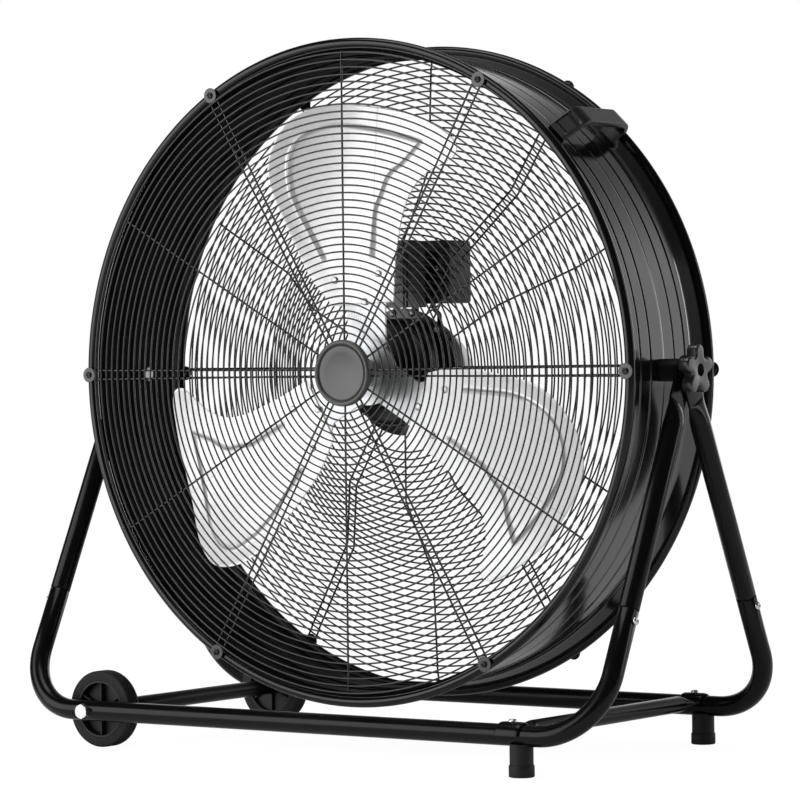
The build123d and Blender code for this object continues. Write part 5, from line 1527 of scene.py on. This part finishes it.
@dataclass
class TiltKnob(Assembly):
    """Five-lobed clamp knob."""

    hand: float = 1.0
    start: float = 428.1
    length: float = 14.4
    core: float = 17.5
    lobe_circle: float = 21.5
    lobe: float = 8.5
    hollow: float = 7.0
    recess: float = 7.5
    recess_depth: float = 6.4
    bore: float = 5.05
    bore_depth: float = 7.0
    face_edge: float = 3.4
    back_edge: float = 1.2

    def build(self) -> None:
        """Build and dress the knob.

        The lobed outline is raised through levels with quarter-round edges, then drawn in to the round
        recess in its face; the bore is closed at its end.
        """
        seat = Place.facing((self.hand * self.start, 0.0, HUB), (self.hand, 0.0, 0.0))
        outline = knob_outline(self.core, self.lobe_circle, self.lobe, self.hollow)
        edge, heel, end = self.face_edge, self.back_edge, self.length
        quarter = math.pi / 2
        low = [(heel - heel * math.sin(a), heel - heel * math.cos(a)) for a in np.linspace(quarter, 0.0, 5)]
        high = [
            (end - edge + edge * math.sin(a), edge - edge * math.cos(a)) for a in np.linspace(0.0, quarter, 9)
        ]
        heights, insets = np.array(low + high).T
        rings = inset(outline, insets)
        angle = np.arctan2(outline[:, 1], outline[:, 0])
        spot = np.stack((np.cos(angle), np.sin(angle)), axis=-1)
        r, floor = self.recess, end - self.recess_depth
        inner = [(r + 0.8, end), (r + 0.2, end - 0.2), (r, end - 0.8)]
        inner += [(r, floor), (r * 0.5, floor), (0.0, floor)]
        back = [(0.0, self.bore_depth), (self.bore, self.bore_depth), (self.bore, 0.0)]
        rows = [np.column_stack((spot * r, np.full(len(spot), h))) for r, h in back]
        rows += [np.column_stack((ring, np.full(len(ring), h))) for ring, h in zip(rings, heights)]
        rows += [np.column_stack((spot * r, np.full(len(spot), h))) for r, h in inner]
        name = "right_tilt_knob" if self.hand > 0 else "left_tilt_knob"
        surface = Surface().add(seat.put(np.stack(rows)))
        self.finish(f"{name}_lobes", surface, KNOB_MOULDED, [name], 40.0)


# ---- Motor ------------------------------------------------------------------------------------


@dataclass
class Motor(Assembly):
    """Round motor housing on its mounting plate."""

    body: str = "drum"
    front: float = -8.0
    joint: float = 31.3
    back: float = 110.0
    front_radius: float = 66.0
    rear_radius: float = 68.0
    taper_start: float = 64.0
    taper_radius: float = 50.0
    bore: float = 63.0
    ear_circle: float = 73.0
    ear: float = 6.5
    ear_thickness: float = 3.0
    plate: Pair = (67.0, 79.0)
    plate_depth: float = 26.2
    plate_thickness: float = 2.5
    shaft_hole: float = 7.6
    bracket_screws: tuple[Pair, ...] = ((-14.0, 73.0), (14.0, 73.0))
    screw: float = 4.5
    screw_height: float = 3.2

    def build(self) -> None:
        """Build and dress the bells, the plate and the screw heads."""
        self.front_bell()
        self.rear_bell()
        inner, outer = self.plate
        seat = Place.facing((0.0, self.plate_depth, HUB), TO_BACK)
        ring = turned(drilled_ring(outer, inner, self.plate_thickness), seat, 128)
        self.finish("motor_ring_plate", Surface().add(ring, True), WIRE_COAT, ["motor_mount_plate"])
        self.screws()

    def front_bell(self) -> None:
        """Front shell with a round shoulder, a shallow step in its face and an open shaft hole."""
        r, f, j = self.front_radius, self.front, self.joint - SEAT
        shoulder = arc((r - 8.0, f + 8.0), 8.0, -90.0, 0.0, 10)
        profile = [(self.shaft_hole, f), (24.0, f), (25.0, f + 1.2), (44.0, f + 1.2), (45.0, f)]
        profile += list(shoulder) + [(r, j - 0.4), (r - 0.4, j), (self.bore, j), (self.bore, f + 10.0)]
        profile += [(57.0, f + 4.0), (self.shaft_hole, f + 4.0)]
        surface = Surface().add(turned(profile, AXIS, 128), True)
        self.finish("motor_front_shell", surface, MOTOR_PAINT, ["motor_front_bell"], 45.0)

    def rear_bell(self) -> None:
        """Rear shell that narrows to a rounded end, and four ears at its joint."""
        r, b, j, t = self.rear_radius, self.back, self.joint, self.taper_radius
        shoulder = arc((t - 5.0, b - 5.0), 5.0, 90.0, 20.0, 10)
        profile = [(0.0, b), (22.0, b), (23.0, b - 1.2), (38.0, b - 1.2), (39.0, b)] + list(shoulder)
        s, wall = self.taper_start, 4.0
        profile += [(r - 0.5, s + 1.5), (r - 0.05, s), (r, s - 1.5), (r, j + 0.4), (r - 0.4, j)]
        profile += [(self.bore, j), (self.bore, s), (t - wall, b - wall), (0.0, b - wall)]
        surface = Surface().add(turned(profile, AXIS, 128))
        for index in range(4):
            a = math.radians(45.0 + 90.0 * index)
            centre = (self.ear_circle * math.cos(a), j, HUB + self.ear_circle * math.sin(a))
            seat = Place.facing(centre, TO_BACK)
            levels = ((0.0, 0.3), (0.3, 0.0), (self.ear_thickness - 0.3, 0.0), (self.ear_thickness, 0.3))
            surface.add(stacked(circle(self.ear, 32), levels, seat))
        self.finish("motor_rear_shell", surface, MOTOR_PAINT, ["motor_rear_bell"], 45.0)

    def screws(self) -> None:
        """Heads on the front of the plate, four for the motor and two for the bracket."""
        surface = Surface()
        angles = np.radians(45.0 + 90.0 * np.arange(4))
        spots = [(self.ear_circle * math.cos(a), self.ear_circle * math.sin(a)) for a in angles]
        for x, z in (*spots, *self.bracket_screws):
            seat = Place.facing((x, self.plate_depth - SEAT, HUB + z), TO_FRONT)
            surface.add(screw_head(seat, self.screw, self.screw_height))
        self.finish("motor_pan_screws", surface, ZINC_PLATE, ["mount_screws"])


@dataclass
class ControlBox(Assembly):
    """Control box behind the guard, with its cover, screws and gland."""

    body: str = "drum"
    half_width: float = 55.0
    bottom: float = 85.0
    top: float = 163.0
    front: float = 51.0
    joint: float = 92.0
    back: float = 99.0
    corner: float = 4.0
    cover_edge: tuple[Pair, ...] = ((-1.8, 0.0), (-0.9, 0.25), (-0.25, 0.9), (0.0, 1.8))
    cover_panel: tuple[Pair, ...] = ((0.0, 4.4), (-0.6, 5.0))
    screw: float = 3.6
    screw_inset: float = 8.0
    bracket_screws: tuple[Pair, ...] = ((-37.0, 128.0), (37.0, 128.0))
    bracket_depth: float = 48.9
    gland_place: Pair = (-38.0, 124.0)
    gland_across: float = 16.0
    gland_stem: tuple[Pair, ...] = ((-3.0, 5.8), (SEAT, 5.8))
    gland_nut: tuple[Pair, ...] = ((SEAT, 8.2), (0.6, 8.9), (4.4, 8.9), (5.0, 8.2))
    gland_collar: tuple[Pair, ...] = ((5.0, 7.0), (10.4, 6.2), (11.6, 5.4), (12.0, 4.4))
    gland_bore: tuple[Pair, ...] = ((12.0, 3.5), (-3.0, 3.5))

    def build(self) -> None:
        """Build and dress the pieces of the box."""
        middle, height = (self.bottom + self.top) / 2, self.top - self.bottom
        outline = round_rectangle(2 * self.half_width, height, self.corner, 7)
        seat = Place.facing((0.0, self.front, HUB + middle), TO_BACK)
        deep = self.joint - self.front
        levels = ((0.0, 1.2), (0.35, 0.35), (1.2, 0.0), (deep - 0.4, 0.0), (deep, 0.4))
        box = Surface().add(stacked(outline, levels, seat))
        self.finish("moulded_box", box, BOX_MOULDED, ["control_box"])
        lid = Place.facing((0.0, self.joint + SEAT, HUB + middle), TO_BACK)
        tall = self.back - self.joint - SEAT
        rounded = [(tall + rise, amount) for rise, amount in self.cover_edge + self.cover_panel]
        levels = [(0.0, 0.4), (0.4, 0.0)] + rounded
        cover = Surface().add(stacked(outline, levels, lid))
        self.finish("moulded_box_cover", cover, BOX_MOULDED, ["control_box_cover"])
        screws, from_edge = Surface(), self.screw_inset
        for x in (-self.half_width + from_edge, self.half_width - from_edge):
            for z in (self.bottom + from_edge, self.top - from_edge):
                seat = Place.facing((x, self.back - 0.55, HUB + z), TO_BACK)
                screws.add(screw_head(seat, self.screw, 3.0))
        for x, z in self.bracket_screws:
            seat = Place.facing((x, self.bracket_depth, HUB + z), TO_FRONT)
            screws.add(screw_head(seat, self.screw, 2.4))
        self.finish("box_pan_screws", screws, ZINC_PLATE, ["box_screws"])
        self.gland()

    def gland(self) -> None:
        """Hexagonal nut with a domed collar on the cover and an open bore."""
        x, z = self.gland_place
        seat = Place.facing((x, self.back, HUB + z), TO_BACK)
        surface, angle = Surface(), full_turn(96)
        flats = hexagon(angle, self.gland_across)
        rows = []
        for height, radius in self.gland_stem + self.gland_nut + self.gland_collar + self.gland_bore:
            wide = np.full(96, radius)
            if (height, radius) in self.gland_nut:
                wide = np.minimum(flats, wide)
            spots = (wide * np.cos(angle), wide * np.sin(angle), np.full(96, height))
            rows.append(np.stack(spots, axis=-1))
        surface.add(seat.put(np.stack(rows)), closed_rows=True)
        self.finish("ribbed_gland", surface, SPACER_MOULDED, ["cord_gland"])


@dataclass
class SpeedDial(Assembly):
    """Round speed knob with a finger bar and a pointer groove."""

    body: str = "speed_dial"
    x: float = 22.0
    z: float = 124.0
    start: float = 99.3
    radius: float = 19.0
    depth: float = 16.0
    skirt: float = 4.0
    bar_half: float = 6.3

    def build(self) -> None:
        """Build and dress the knob as one polar height.

        Inside the skirt's edge the height is the skirt's, plus the bar's where a point lies beside the
        bar's middle plane by less than its half width, with soft walls and a shallow pointer groove.
        """
        share = np.concatenate((np.linspace(0.0, 0.94, 46), (0.97, 0.99, 1.0)))
        angle = full_turn(192)
        u, v = share[:, None] * np.cos(angle) * self.radius, share[:, None] * np.sin(angle) * self.radius
        round_edge = (1.0 - ease((np.broadcast_to(share[:, None], u.shape) - 0.94) / 0.06)) * 0.6
        radius = np.hypot(u, v)
        bar = ease((self.bar_half - np.abs(u)) / 1.2 + 0.5) * ease((self.radius - 1.0 - radius) / 1.2 + 0.3)
        core = 0.25 * ease((self.radius * 0.55 - radius) / 1.0 + 0.5)
        groove = 0.9 * ease((0.8 - np.abs(u)) / 0.5 + 0.5) * ease((v - 4.0) / 1.0)
        raised = (self.depth - self.skirt) * np.maximum(bar, core)
        high = self.skirt - 0.6 + round_edge + raised - groove * bar
        top = np.stack((u, v, high), axis=-1)
        rim = top[-1:] * (1.0, 1.0, 0.0)
        seat = Place.facing((self.x, self.start, HUB + self.z), TO_BACK)
        surface = Surface().add(seat.put(np.concatenate((top, rim, rim * 0.0))))
        self.finish("speed_bar_knob", surface, KNOB_MOULDED, ["speed_knob"], 50.0)


# ---- Fan --------------------------------------------------------------------------------------


@dataclass
class Fan(Assembly):
    """Three pressed blades on a spider, with rivets and a shaft."""

    body: str = "fan"
    thickness: float = 2.0
    root: tuple[Pair, ...] = ((-47.0, 82.0), (39.0, 86.0))
    edge: tuple[Pair, ...] = (
        (44.0, 150.0),
        (57.0, 207.0),
        (80.0, 238.0),
        (112.0, 253.0),
        (130.0, 261.0),
        (131.0, 277.0),
        (108.0, 294.0),
        (62.0, 314.0),
        (5.0, 326.0),
        (-50.0, 331.0),
        (-92.0, 315.0),
        (-114.0, 283.0),
        (-121.0, 245.0),
        (-109.0, 200.0),
        (-78.0, 124.0),
    )
    rib: tuple[Pair, ...] = (
        (-57.3, 141.7),
        (-76.9, 180.8),
        (-88.0, 204.7),
        (-95.4, 228.4),
        (-97.1, 249.8),
        (-95.5, 268.5),
        (-89.1, 282.5),
        (-78.2, 292.9),
        (-60.4, 300.7),
        (-35.0, 303.6),
        (7.1, 297.3),
        (47.7, 287.5),
        (75.3, 279.4),
    )
    rib_return: tuple[Pair, ...] = (
        (75.3, 279.4),
        (52.1, 257.0),
        (30.9, 241.3),
        (21.0, 218.3),
        (13.4, 199.7),
        (11.2, 174.0),
        (8.7, 143.6),
    )
    rib_height: float = 4.0
    rib_half: float = 3.8
    middle: Pair = (0.0, 230.0)
    rivets: tuple[Pair, ...] = ((-42.0, 114.0), (18.0, 121.0), (-2.0, 87.0))
    spider: float = 3.0
    rivet: float = 4.5
    rivet_height: float = 2.0
    shaft_radius: float = 7.0

    def build(self) -> None:
        """Build and dress the blades, the rivets and the shaft."""
        for index in range(3):
            self.blade(index)
        self.rivet_heads()
        self.shaft()

    @staticmethod
    def bent(x: np.ndarray, z: np.ndarray) -> tuple[np.ndarray, np.ndarray]:
        """Depth of the sheet's middle and its unit normals to the front.

        With w = z - 200 the depth is -49 + 0.148 x + 0.046 w + 0.00045 x w - 0.00115 x x
        + 0.0003 w w - 0.000005 x x w. The normal is (slope along x, -1, slope along z).

        Args:
            x: Distances to the right of the upright blade's middle.
            z: Distances over the shaft.

        Returns:
            The depths, and the normals of shape (..., 3).
        """
        w = z - 200.0
        depth = -49.0 + 0.148 * x + 0.046 * w + 0.00045 * x * w
        depth = depth - 0.00115 * x**2 + 0.0003 * w**2 - 5e-6 * x**2 * w
        slope_x = 0.148 + 0.00045 * w - 0.0023 * x - 1e-5 * x * w
        slope_z = 0.046 + 0.00045 * x + 0.0006 * w - 5e-6 * x**2
        return depth, unit(np.stack((slope_x, -np.ones_like(x), slope_z), axis=-1))

    @staticmethod
    def turn(points: np.ndarray, index: int) -> np.ndarray:
        """Points of the upright blade turned round the shaft to another blade's place.

        Args:
            points: Points of shape (..., 3) about the shaft.
            index: Number of the other blade, or less than 0 to turn back.

        Returns:
            Points of the same shape.
        """
        a = math.radians(120.0 * index)
        x, y, z = points[..., 0], points[..., 1], points[..., 2]
        return np.stack((x * math.cos(a) + z * math.sin(a), y, z * math.cos(a) - x * math.sin(a)), axis=-1)

    def outline(self) -> np.ndarray:
        """Closed outline of a blade: a smooth line through the edge's points, then the straight root.

        Returns:
            Points (x, z) of the upright blade.
        """
        curve = smooth_line((self.root[1],) + self.edge + (self.root[0],), 16)
        even = even_points(curve, np.linspace(0.0, line_length(curve), 330))
        base = np.linspace(self.root[0], self.root[1], 24)[1:-1]
        return np.concatenate((even, base))

    def crown(self, flat: np.ndarray) -> np.ndarray:
        """Share of the rib's height: 1 on its line, and a raised cosine down to 0 at its half width.

        Args:
            flat: Points (x, z) of the upright blade, of shape (..., 2).

        Returns:
            Shares of shape (...).
        """
        lines = (smooth_line(self.rib, 5), smooth_line(self.rib_return, 5))
        near = np.minimum(*(distance_to_line(flat, line) for line in lines))
        return 0.5 * (1.0 + np.cos(np.clip(near / self.rib_half, 0.0, 1.0) * math.pi))

    def blade(self, index: int) -> None:
        """Build a pressed sheet as a polar grid about the blade's middle.

        A point is the middle plus a share of the outline's point less the middle, lifted half the
        thickness off the bent sheet. Near the rib the sheet rises by a raised cosine of the distance.

        Args:
            index: Number of the blade, from 0.
        """
        levels = 100
        spread = np.linspace(0.0, 0.992, levels)
        share = np.concatenate((spread, (1.0, 1.0), spread[::-1]))
        lift = np.concatenate((np.ones(levels), (0.45, -0.45), -np.ones(levels))) * self.thickness / 2
        flat = np.array(self.middle) + share[:, None, None] * (self.outline() - self.middle)
        depth, normal = self.bent(flat[..., 0], flat[..., 1])
        raised = self.rib_height * self.crown(flat[:levels])
        raised = np.concatenate((raised, raised[-1:], raised[-1:], raised[::-1]))
        points = np.stack((flat[..., 0], depth, flat[..., 1]), axis=-1)
        points += normal * (lift[:, None] + raised)[..., None]
        surface = Surface().add(self.turn(points, index) + (0.0, 0.0, HUB))
        piece = self.finish(f"pressed_blade_{index + 1}", surface, BLADE_SHEET, [f"blade_{index + 1}"], 50.0)
        self.mark_sheet(piece.data, index)

    def mark_sheet(self, mesh: bpy.types.Mesh, index: int) -> None:
        """Give a blade the UV map "sheet" and the attribute "rib", both from its flat sheet.

        On the upright blade u = (x + 140) / 280 and v = (z - 70) / 280. The attribute is the crown's share.

        Args:
            mesh: The blade's mesh.
            index: Number of the blade, from 0.
        """
        points = np.empty(len(mesh.vertices) * 3)
        mesh.vertices.foreach_get("co", points)
        flat = self.turn(points.reshape(-1, 3) / MM - (0.0, 0.0, HUB), -index)[:, (0, 2)]
        corner = np.empty(len(mesh.loops), dtype=np.int32)
        mesh.loops.foreach_get("vertex_index", corner)
        sheet = ((flat[corner] + (140.0, -70.0)) / 280.0).astype(np.float32)
        mesh.uv_layers.new(name="sheet").data.foreach_set("uv", sheet.ravel())
        rib = mesh.attributes.new("rib", "FLOAT", "POINT")
        rib.data.foreach_set("value", self.crown(flat).astype(np.float32))

    def rivet_heads(self) -> None:
        """Round rivet heads on the front of the blades and the back of the spider."""
        surface = Surface()
        for index in range(3):
            for x, z in self.rivets:
                depth, normal = self.bent(np.array(x), np.array(z))
                half = self.thickness / 2
                for side, lift in ((1.0, half + SEAT), (-1.0, half + 0.1 + self.spider)):
                    seat = self.turn(np.array((x, float(depth), z)) + side * lift * normal, index)
                    out = self.turn(side * normal, index)
                    place = Place.facing(seat + (0.0, 0.0, HUB), out, (1.0, 0.0, 0.0))
                    surface.add(screw_head(place, self.rivet, self.rivet_height, Drive.PLAIN))
        self.finish("domed_rivets", surface, ZINC_PLATE, ["blade_rivets"])

    def shaft(self) -> None:
        """Turned shaft with a chamfered nose and a centre mark."""
        nose, back, r = 62.0, -78.0, self.shaft_radius
        profile = [(0.0, nose - 1.2), (1.2, nose), (r - 1.0, nose), (r, nose - 1.0)]
        profile += [(r, back + 1.0), (r - 1.0, back), (0.0, back)]
        surface = Surface().add(turned(profile, FRONT_AXIS, 64))
        self.finish("turned_shaft", surface, ZINC_PLATE, ["fan_shaft"])


# ---- Carried-over CAD pieces ------------------------------------------------------------------

CARRIED: dict[str, Finish] = {
    "foot_screws": BLACK_OXIDE,
    "axle_plugs": SPACER_MOULDED,
    "axle_washers": SPACER_MOULDED,
    "stator_core": CORE_STEEL,
    "stator_winding": COPPER_WIRE,
    "motor_bearings": ZINC_PLATE,
    "box_bracket": WIRE_COAT,
    "rotary_switch": BOX_MOULDED,
    "run_capacitor": CAPACITOR_CASE,
    "motor_lead": FOOT_RUBBER,
    "fan_spider": SPIDER_PAINT,
    "fan_set_screw": BLACK_OXIDE,
    "rotor_core": CORE_STEEL,
    "switch_spindle": ZINC_PLATE,
}


def dress_carried(nodes: dict[str, bpy.types.Object]) -> None:
    """Give each CAD node that stays in view its finish.

    Args:
        nodes: The frame's CAD nodes by name.
    """
    for name, finish in CARRIED.items():
        node = nodes[name]
        node.data.materials.clear()
        node.data.materials.append(finish.material())
        log.info("%s: CAD node, %s", name, finish.slot)


# ---- Studio -----------------------------------------------------------------------------------


@dataclass(frozen=True)
class Lamp:
    """A soft rectangular lamp: where it stands and what it points at, in metres."""

    name: str
    place: Triple
    target: Triple
    size: Pair
    power: float

    def hang(self) -> None:
        """Make the lamp."""
        light = bpy.data.lights.new(self.name, "AREA")
        light.shape = "RECTANGLE"
        light.size, light.size_y = self.size
        light.energy = self.power
        lamp = bpy.data.objects.new(self.name, light)
        lamp.location = self.place
        lamp.rotation_euler = (Vector(self.target) - Vector(self.place)).to_track_quat("-Z", "Y").to_euler()
        bpy.context.scene.collection.objects.link(lamp)


@dataclass(frozen=True)
class Studio:
    """Camera, lamps, world and floor round the fan."""

    azimuth: float = 34.82
    elevation: float = 0.74
    roll: float = -0.65
    distance: float = 4631.4
    shift: Pair = (11.41, -34.35)
    lens: float = 168.525
    lamps: tuple[Lamp, ...] = (
        Lamp("left_softbox", (-1.85, -2.65, 1.0), (0.0, 0.0, 0.5), (3.4, 2.6), 100.0),
        Lamp("top_softbox", (-0.3, -0.6, 3.2), (0.0, 0.0, 0.4), (2.2, 1.4), 34.0),
        Lamp("edge_strip", (2.9, 1.7, 1.0), (0.0, 0.0, 0.5), (0.35, 2.2), 12.0),
    )
    world_fill: float = 0.55
    dim_front: float = 0.03
    front_edge: Pair = (0.3, 0.62)
    ceiling_edge: Pair = (0.3, 0.58)
    dim_ceiling: float = 0.18
    strip_edge: Pair = (0.88, 0.95)
    strip: float = 1.2
    floor_share: float = 0.9
    floor_reach: float = 12.0
    floor_drop: float = 0.0005
    floor_tone: float = 0.86
    floor_glow: float = 1.06

    def build(self) -> None:
        """Set the studio up."""
        self.camera()
        for lamp in self.lamps:
            lamp.hang()
        self.world()
        self.floor()
        bpy.context.scene.view_settings.view_transform = "Standard"

    def camera(self) -> None:
        """Camera at the photograph's place.

        Back is (sin a cos e, -cos a cos e, sin e). The camera's right and up are turned by the roll, and
        it stands at the hub plus right and up times the shift plus back times the distance.
        """
        a, e, r = (math.radians(v) for v in (self.azimuth, self.elevation, self.roll))
        back = np.array((math.sin(a) * math.cos(e), -math.cos(a) * math.cos(e), math.sin(e)))
        level = np.array((math.cos(a), math.sin(a), 0.0))
        over = np.cross(back, level)
        right = level * math.cos(r) + over * math.sin(r)
        up = over * math.cos(r) - level * math.sin(r)
        spot = (right * self.shift[0] + up * self.shift[1] + back * self.distance + (0.0, 0.0, HUB)) * MM
        lens = bpy.data.cameras.new("front_camera")
        lens.lens = self.lens
        lens.sensor_width = 36.0
        lens.clip_start, lens.clip_end = 0.1, 60.0
        camera = bpy.data.objects.new("front_camera", lens)
        columns = Matrix((right, up, back)).transposed().to_4x4()
        camera.matrix_world = Matrix.Translation(Vector(spot)) @ columns
        bpy.context.scene.collection.objects.link(camera)
        bpy.context.scene.camera = camera

    @staticmethod
    def seen(tree: Tree) -> Socket:
        """1 for rays from the camera and for reflected and transmitted rays, 0 for those that light the fan.

        Args:
            tree: The world's node tree.

        Returns:
            Socket that gives the number.
        """
        rays = tree.nodes.new("ShaderNodeLightPath").outputs
        reflected = arithmetic(tree, "MAXIMUM", rays["Is Camera Ray"], rays["Is Glossy Ray"])
        return arithmetic(tree, "MAXIMUM", reflected, rays["Is Transmission Ray"])

    def world(self) -> None:
        """White behind everything for the camera, a room for reflections, and a soft white to light the fan.

        The room's brightness goes by a reflected ray's own direction. It is 1 towards the back, where the
        white wall stands, with a brighter strip in its middle, and dim towards the front, where the studio
        is dark. All of it falls off towards the ceiling.
        """
        world = bpy.data.worlds.new("white_room")
        world.use_nodes = True
        tree = world.node_tree
        heading = tree.nodes.new("ShaderNodeSeparateXYZ")
        tree.links.new(tree.nodes.new("ShaderNodeTexCoord").outputs["Generated"], heading.inputs["Vector"])
        room = ranged(tree, heading.outputs["Y"], self.front_edge, (self.dim_front, 1.0), True)
        strip = ranged(tree, heading.outputs["Y"], self.strip_edge, (0.0, self.strip), True)
        ceiling = ranged(tree, heading.outputs["Z"], self.ceiling_edge, (1.0, self.dim_ceiling), True)
        lower = arithmetic(tree, "MULTIPLY", arithmetic(tree, "ADD", room, strip), ceiling)
        rays = tree.nodes.new("ShaderNodeLightPath")
        wall = tree.nodes.new("ShaderNodeMix")
        wall.inputs[3].default_value = 1.0
        tree.links.new(rays.outputs["Is Camera Ray"], wall.inputs[0])
        tree.links.new(lower, wall.inputs[2])
        fill = tree.nodes["Background"]
        fill.inputs["Color"].default_value = (1.0, 1.0, 1.0, 1.0)
        fill.inputs["Strength"].default_value = self.world_fill
        white = tree.nodes.new("ShaderNodeBackground")
        white.inputs["Color"].default_value = (1.0, 1.0, 1.0, 1.0)
        tree.links.new(wall.outputs[0], white.inputs["Strength"])
        mix = tree.nodes.new("ShaderNodeMixShader")
        tree.links.new(self.seen(tree), mix.inputs[0])
        tree.links.new(fill.outputs[0], mix.inputs[1])
        tree.links.new(white.outputs[0], mix.inputs[2])
        tree.links.new(mix.outputs[0], tree.nodes["World Output"].inputs["Surface"])
        bpy.context.scene.world = world

    def floor(self) -> None:
        """Pale floor that keeps a faint shadow: mostly white to the camera, plain matte to the lamps."""
        reach = np.linspace(-self.floor_reach, self.floor_reach, 25)
        x, y = np.meshgrid(reach, reach, indexing="ij")
        points = np.stack((x, y, np.full(x.shape, -self.floor_drop)), axis=-1).reshape(-1, 3)
        mesh = bpy.data.meshes.new("studio_floor")
        mesh.from_pydata(points.tolist(), [], quads(np.arange(x.size).reshape(x.shape)).tolist())
        floor = bpy.data.objects.new("studio_floor", mesh)
        bpy.context.scene.collection.objects.link(floor)
        material = bpy.data.materials.new("pale_floor")
        material.use_nodes = True
        tree = material.node_tree
        matte = tree.nodes["Principled BSDF"]
        matte.inputs["Base Color"].default_value = (self.floor_tone, self.floor_tone, self.floor_tone, 1.0)
        matte.inputs["Roughness"].default_value = 0.9
        matte.inputs["Specular IOR Level"].default_value = 0.0
        white = tree.nodes.new("ShaderNodeEmission")
        white.inputs["Strength"].default_value = self.floor_glow
        rays = tree.nodes.new("ShaderNodeLightPath")
        mix = tree.nodes.new("ShaderNodeMixShader")
        share = arithmetic(tree, "MULTIPLY", rays.outputs["Is Camera Ray"], self.floor_share)
        tree.links.new(share, mix.inputs[0])
        tree.links.new(matte.outputs[0], mix.inputs[1])
        tree.links.new(white.outputs[0], mix.inputs[2])
        tree.links.new(mix.outputs[0], tree.nodes["Material Output"].inputs["Surface"])
        mesh.materials.append(material)


def corners(box: tuple[Vector, Vector]) -> list[list[float]]:
    """A box's two corners as plain lists."""
    return [[float(v) for v in corner] for corner in box]


def sub_assemblies() -> tuple[Assembly, ...]:
    """The fan's sub-assemblies, from the floor up.

    Returns:
        One of each, and two wheels and two knobs.
    """
    return (
        TubeFrame(),
        CrossBrace(),
        Axle(),
        Wheel(body="front_wheel", side=-1.0),
        Wheel(body="rear_wheel", side=1.0),
        Drum(),
        Guards(),
        CarryHandle(),
        Pivot(),
        TiltKnob(body="right_knob", hand=1.0),
        TiltKnob(body="left_knob", hand=-1.0),
        Motor(),
        ControlBox(),
        SpeedDial(),
        Fan(),
    )


def main() -> None:
    """Load the frame, build the pieces in order, dress what stays and set up the studio."""
    logging.basicConfig(level=logging.INFO, format="%(name)s: %(message)s")
    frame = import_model()
    Studio().build()
    for assembly in sub_assemblies():
        assembly.build()
    dress_carried(frame["nodes"])
    bpy.context.view_layer.update()


if __name__ == "__main__":
    main()
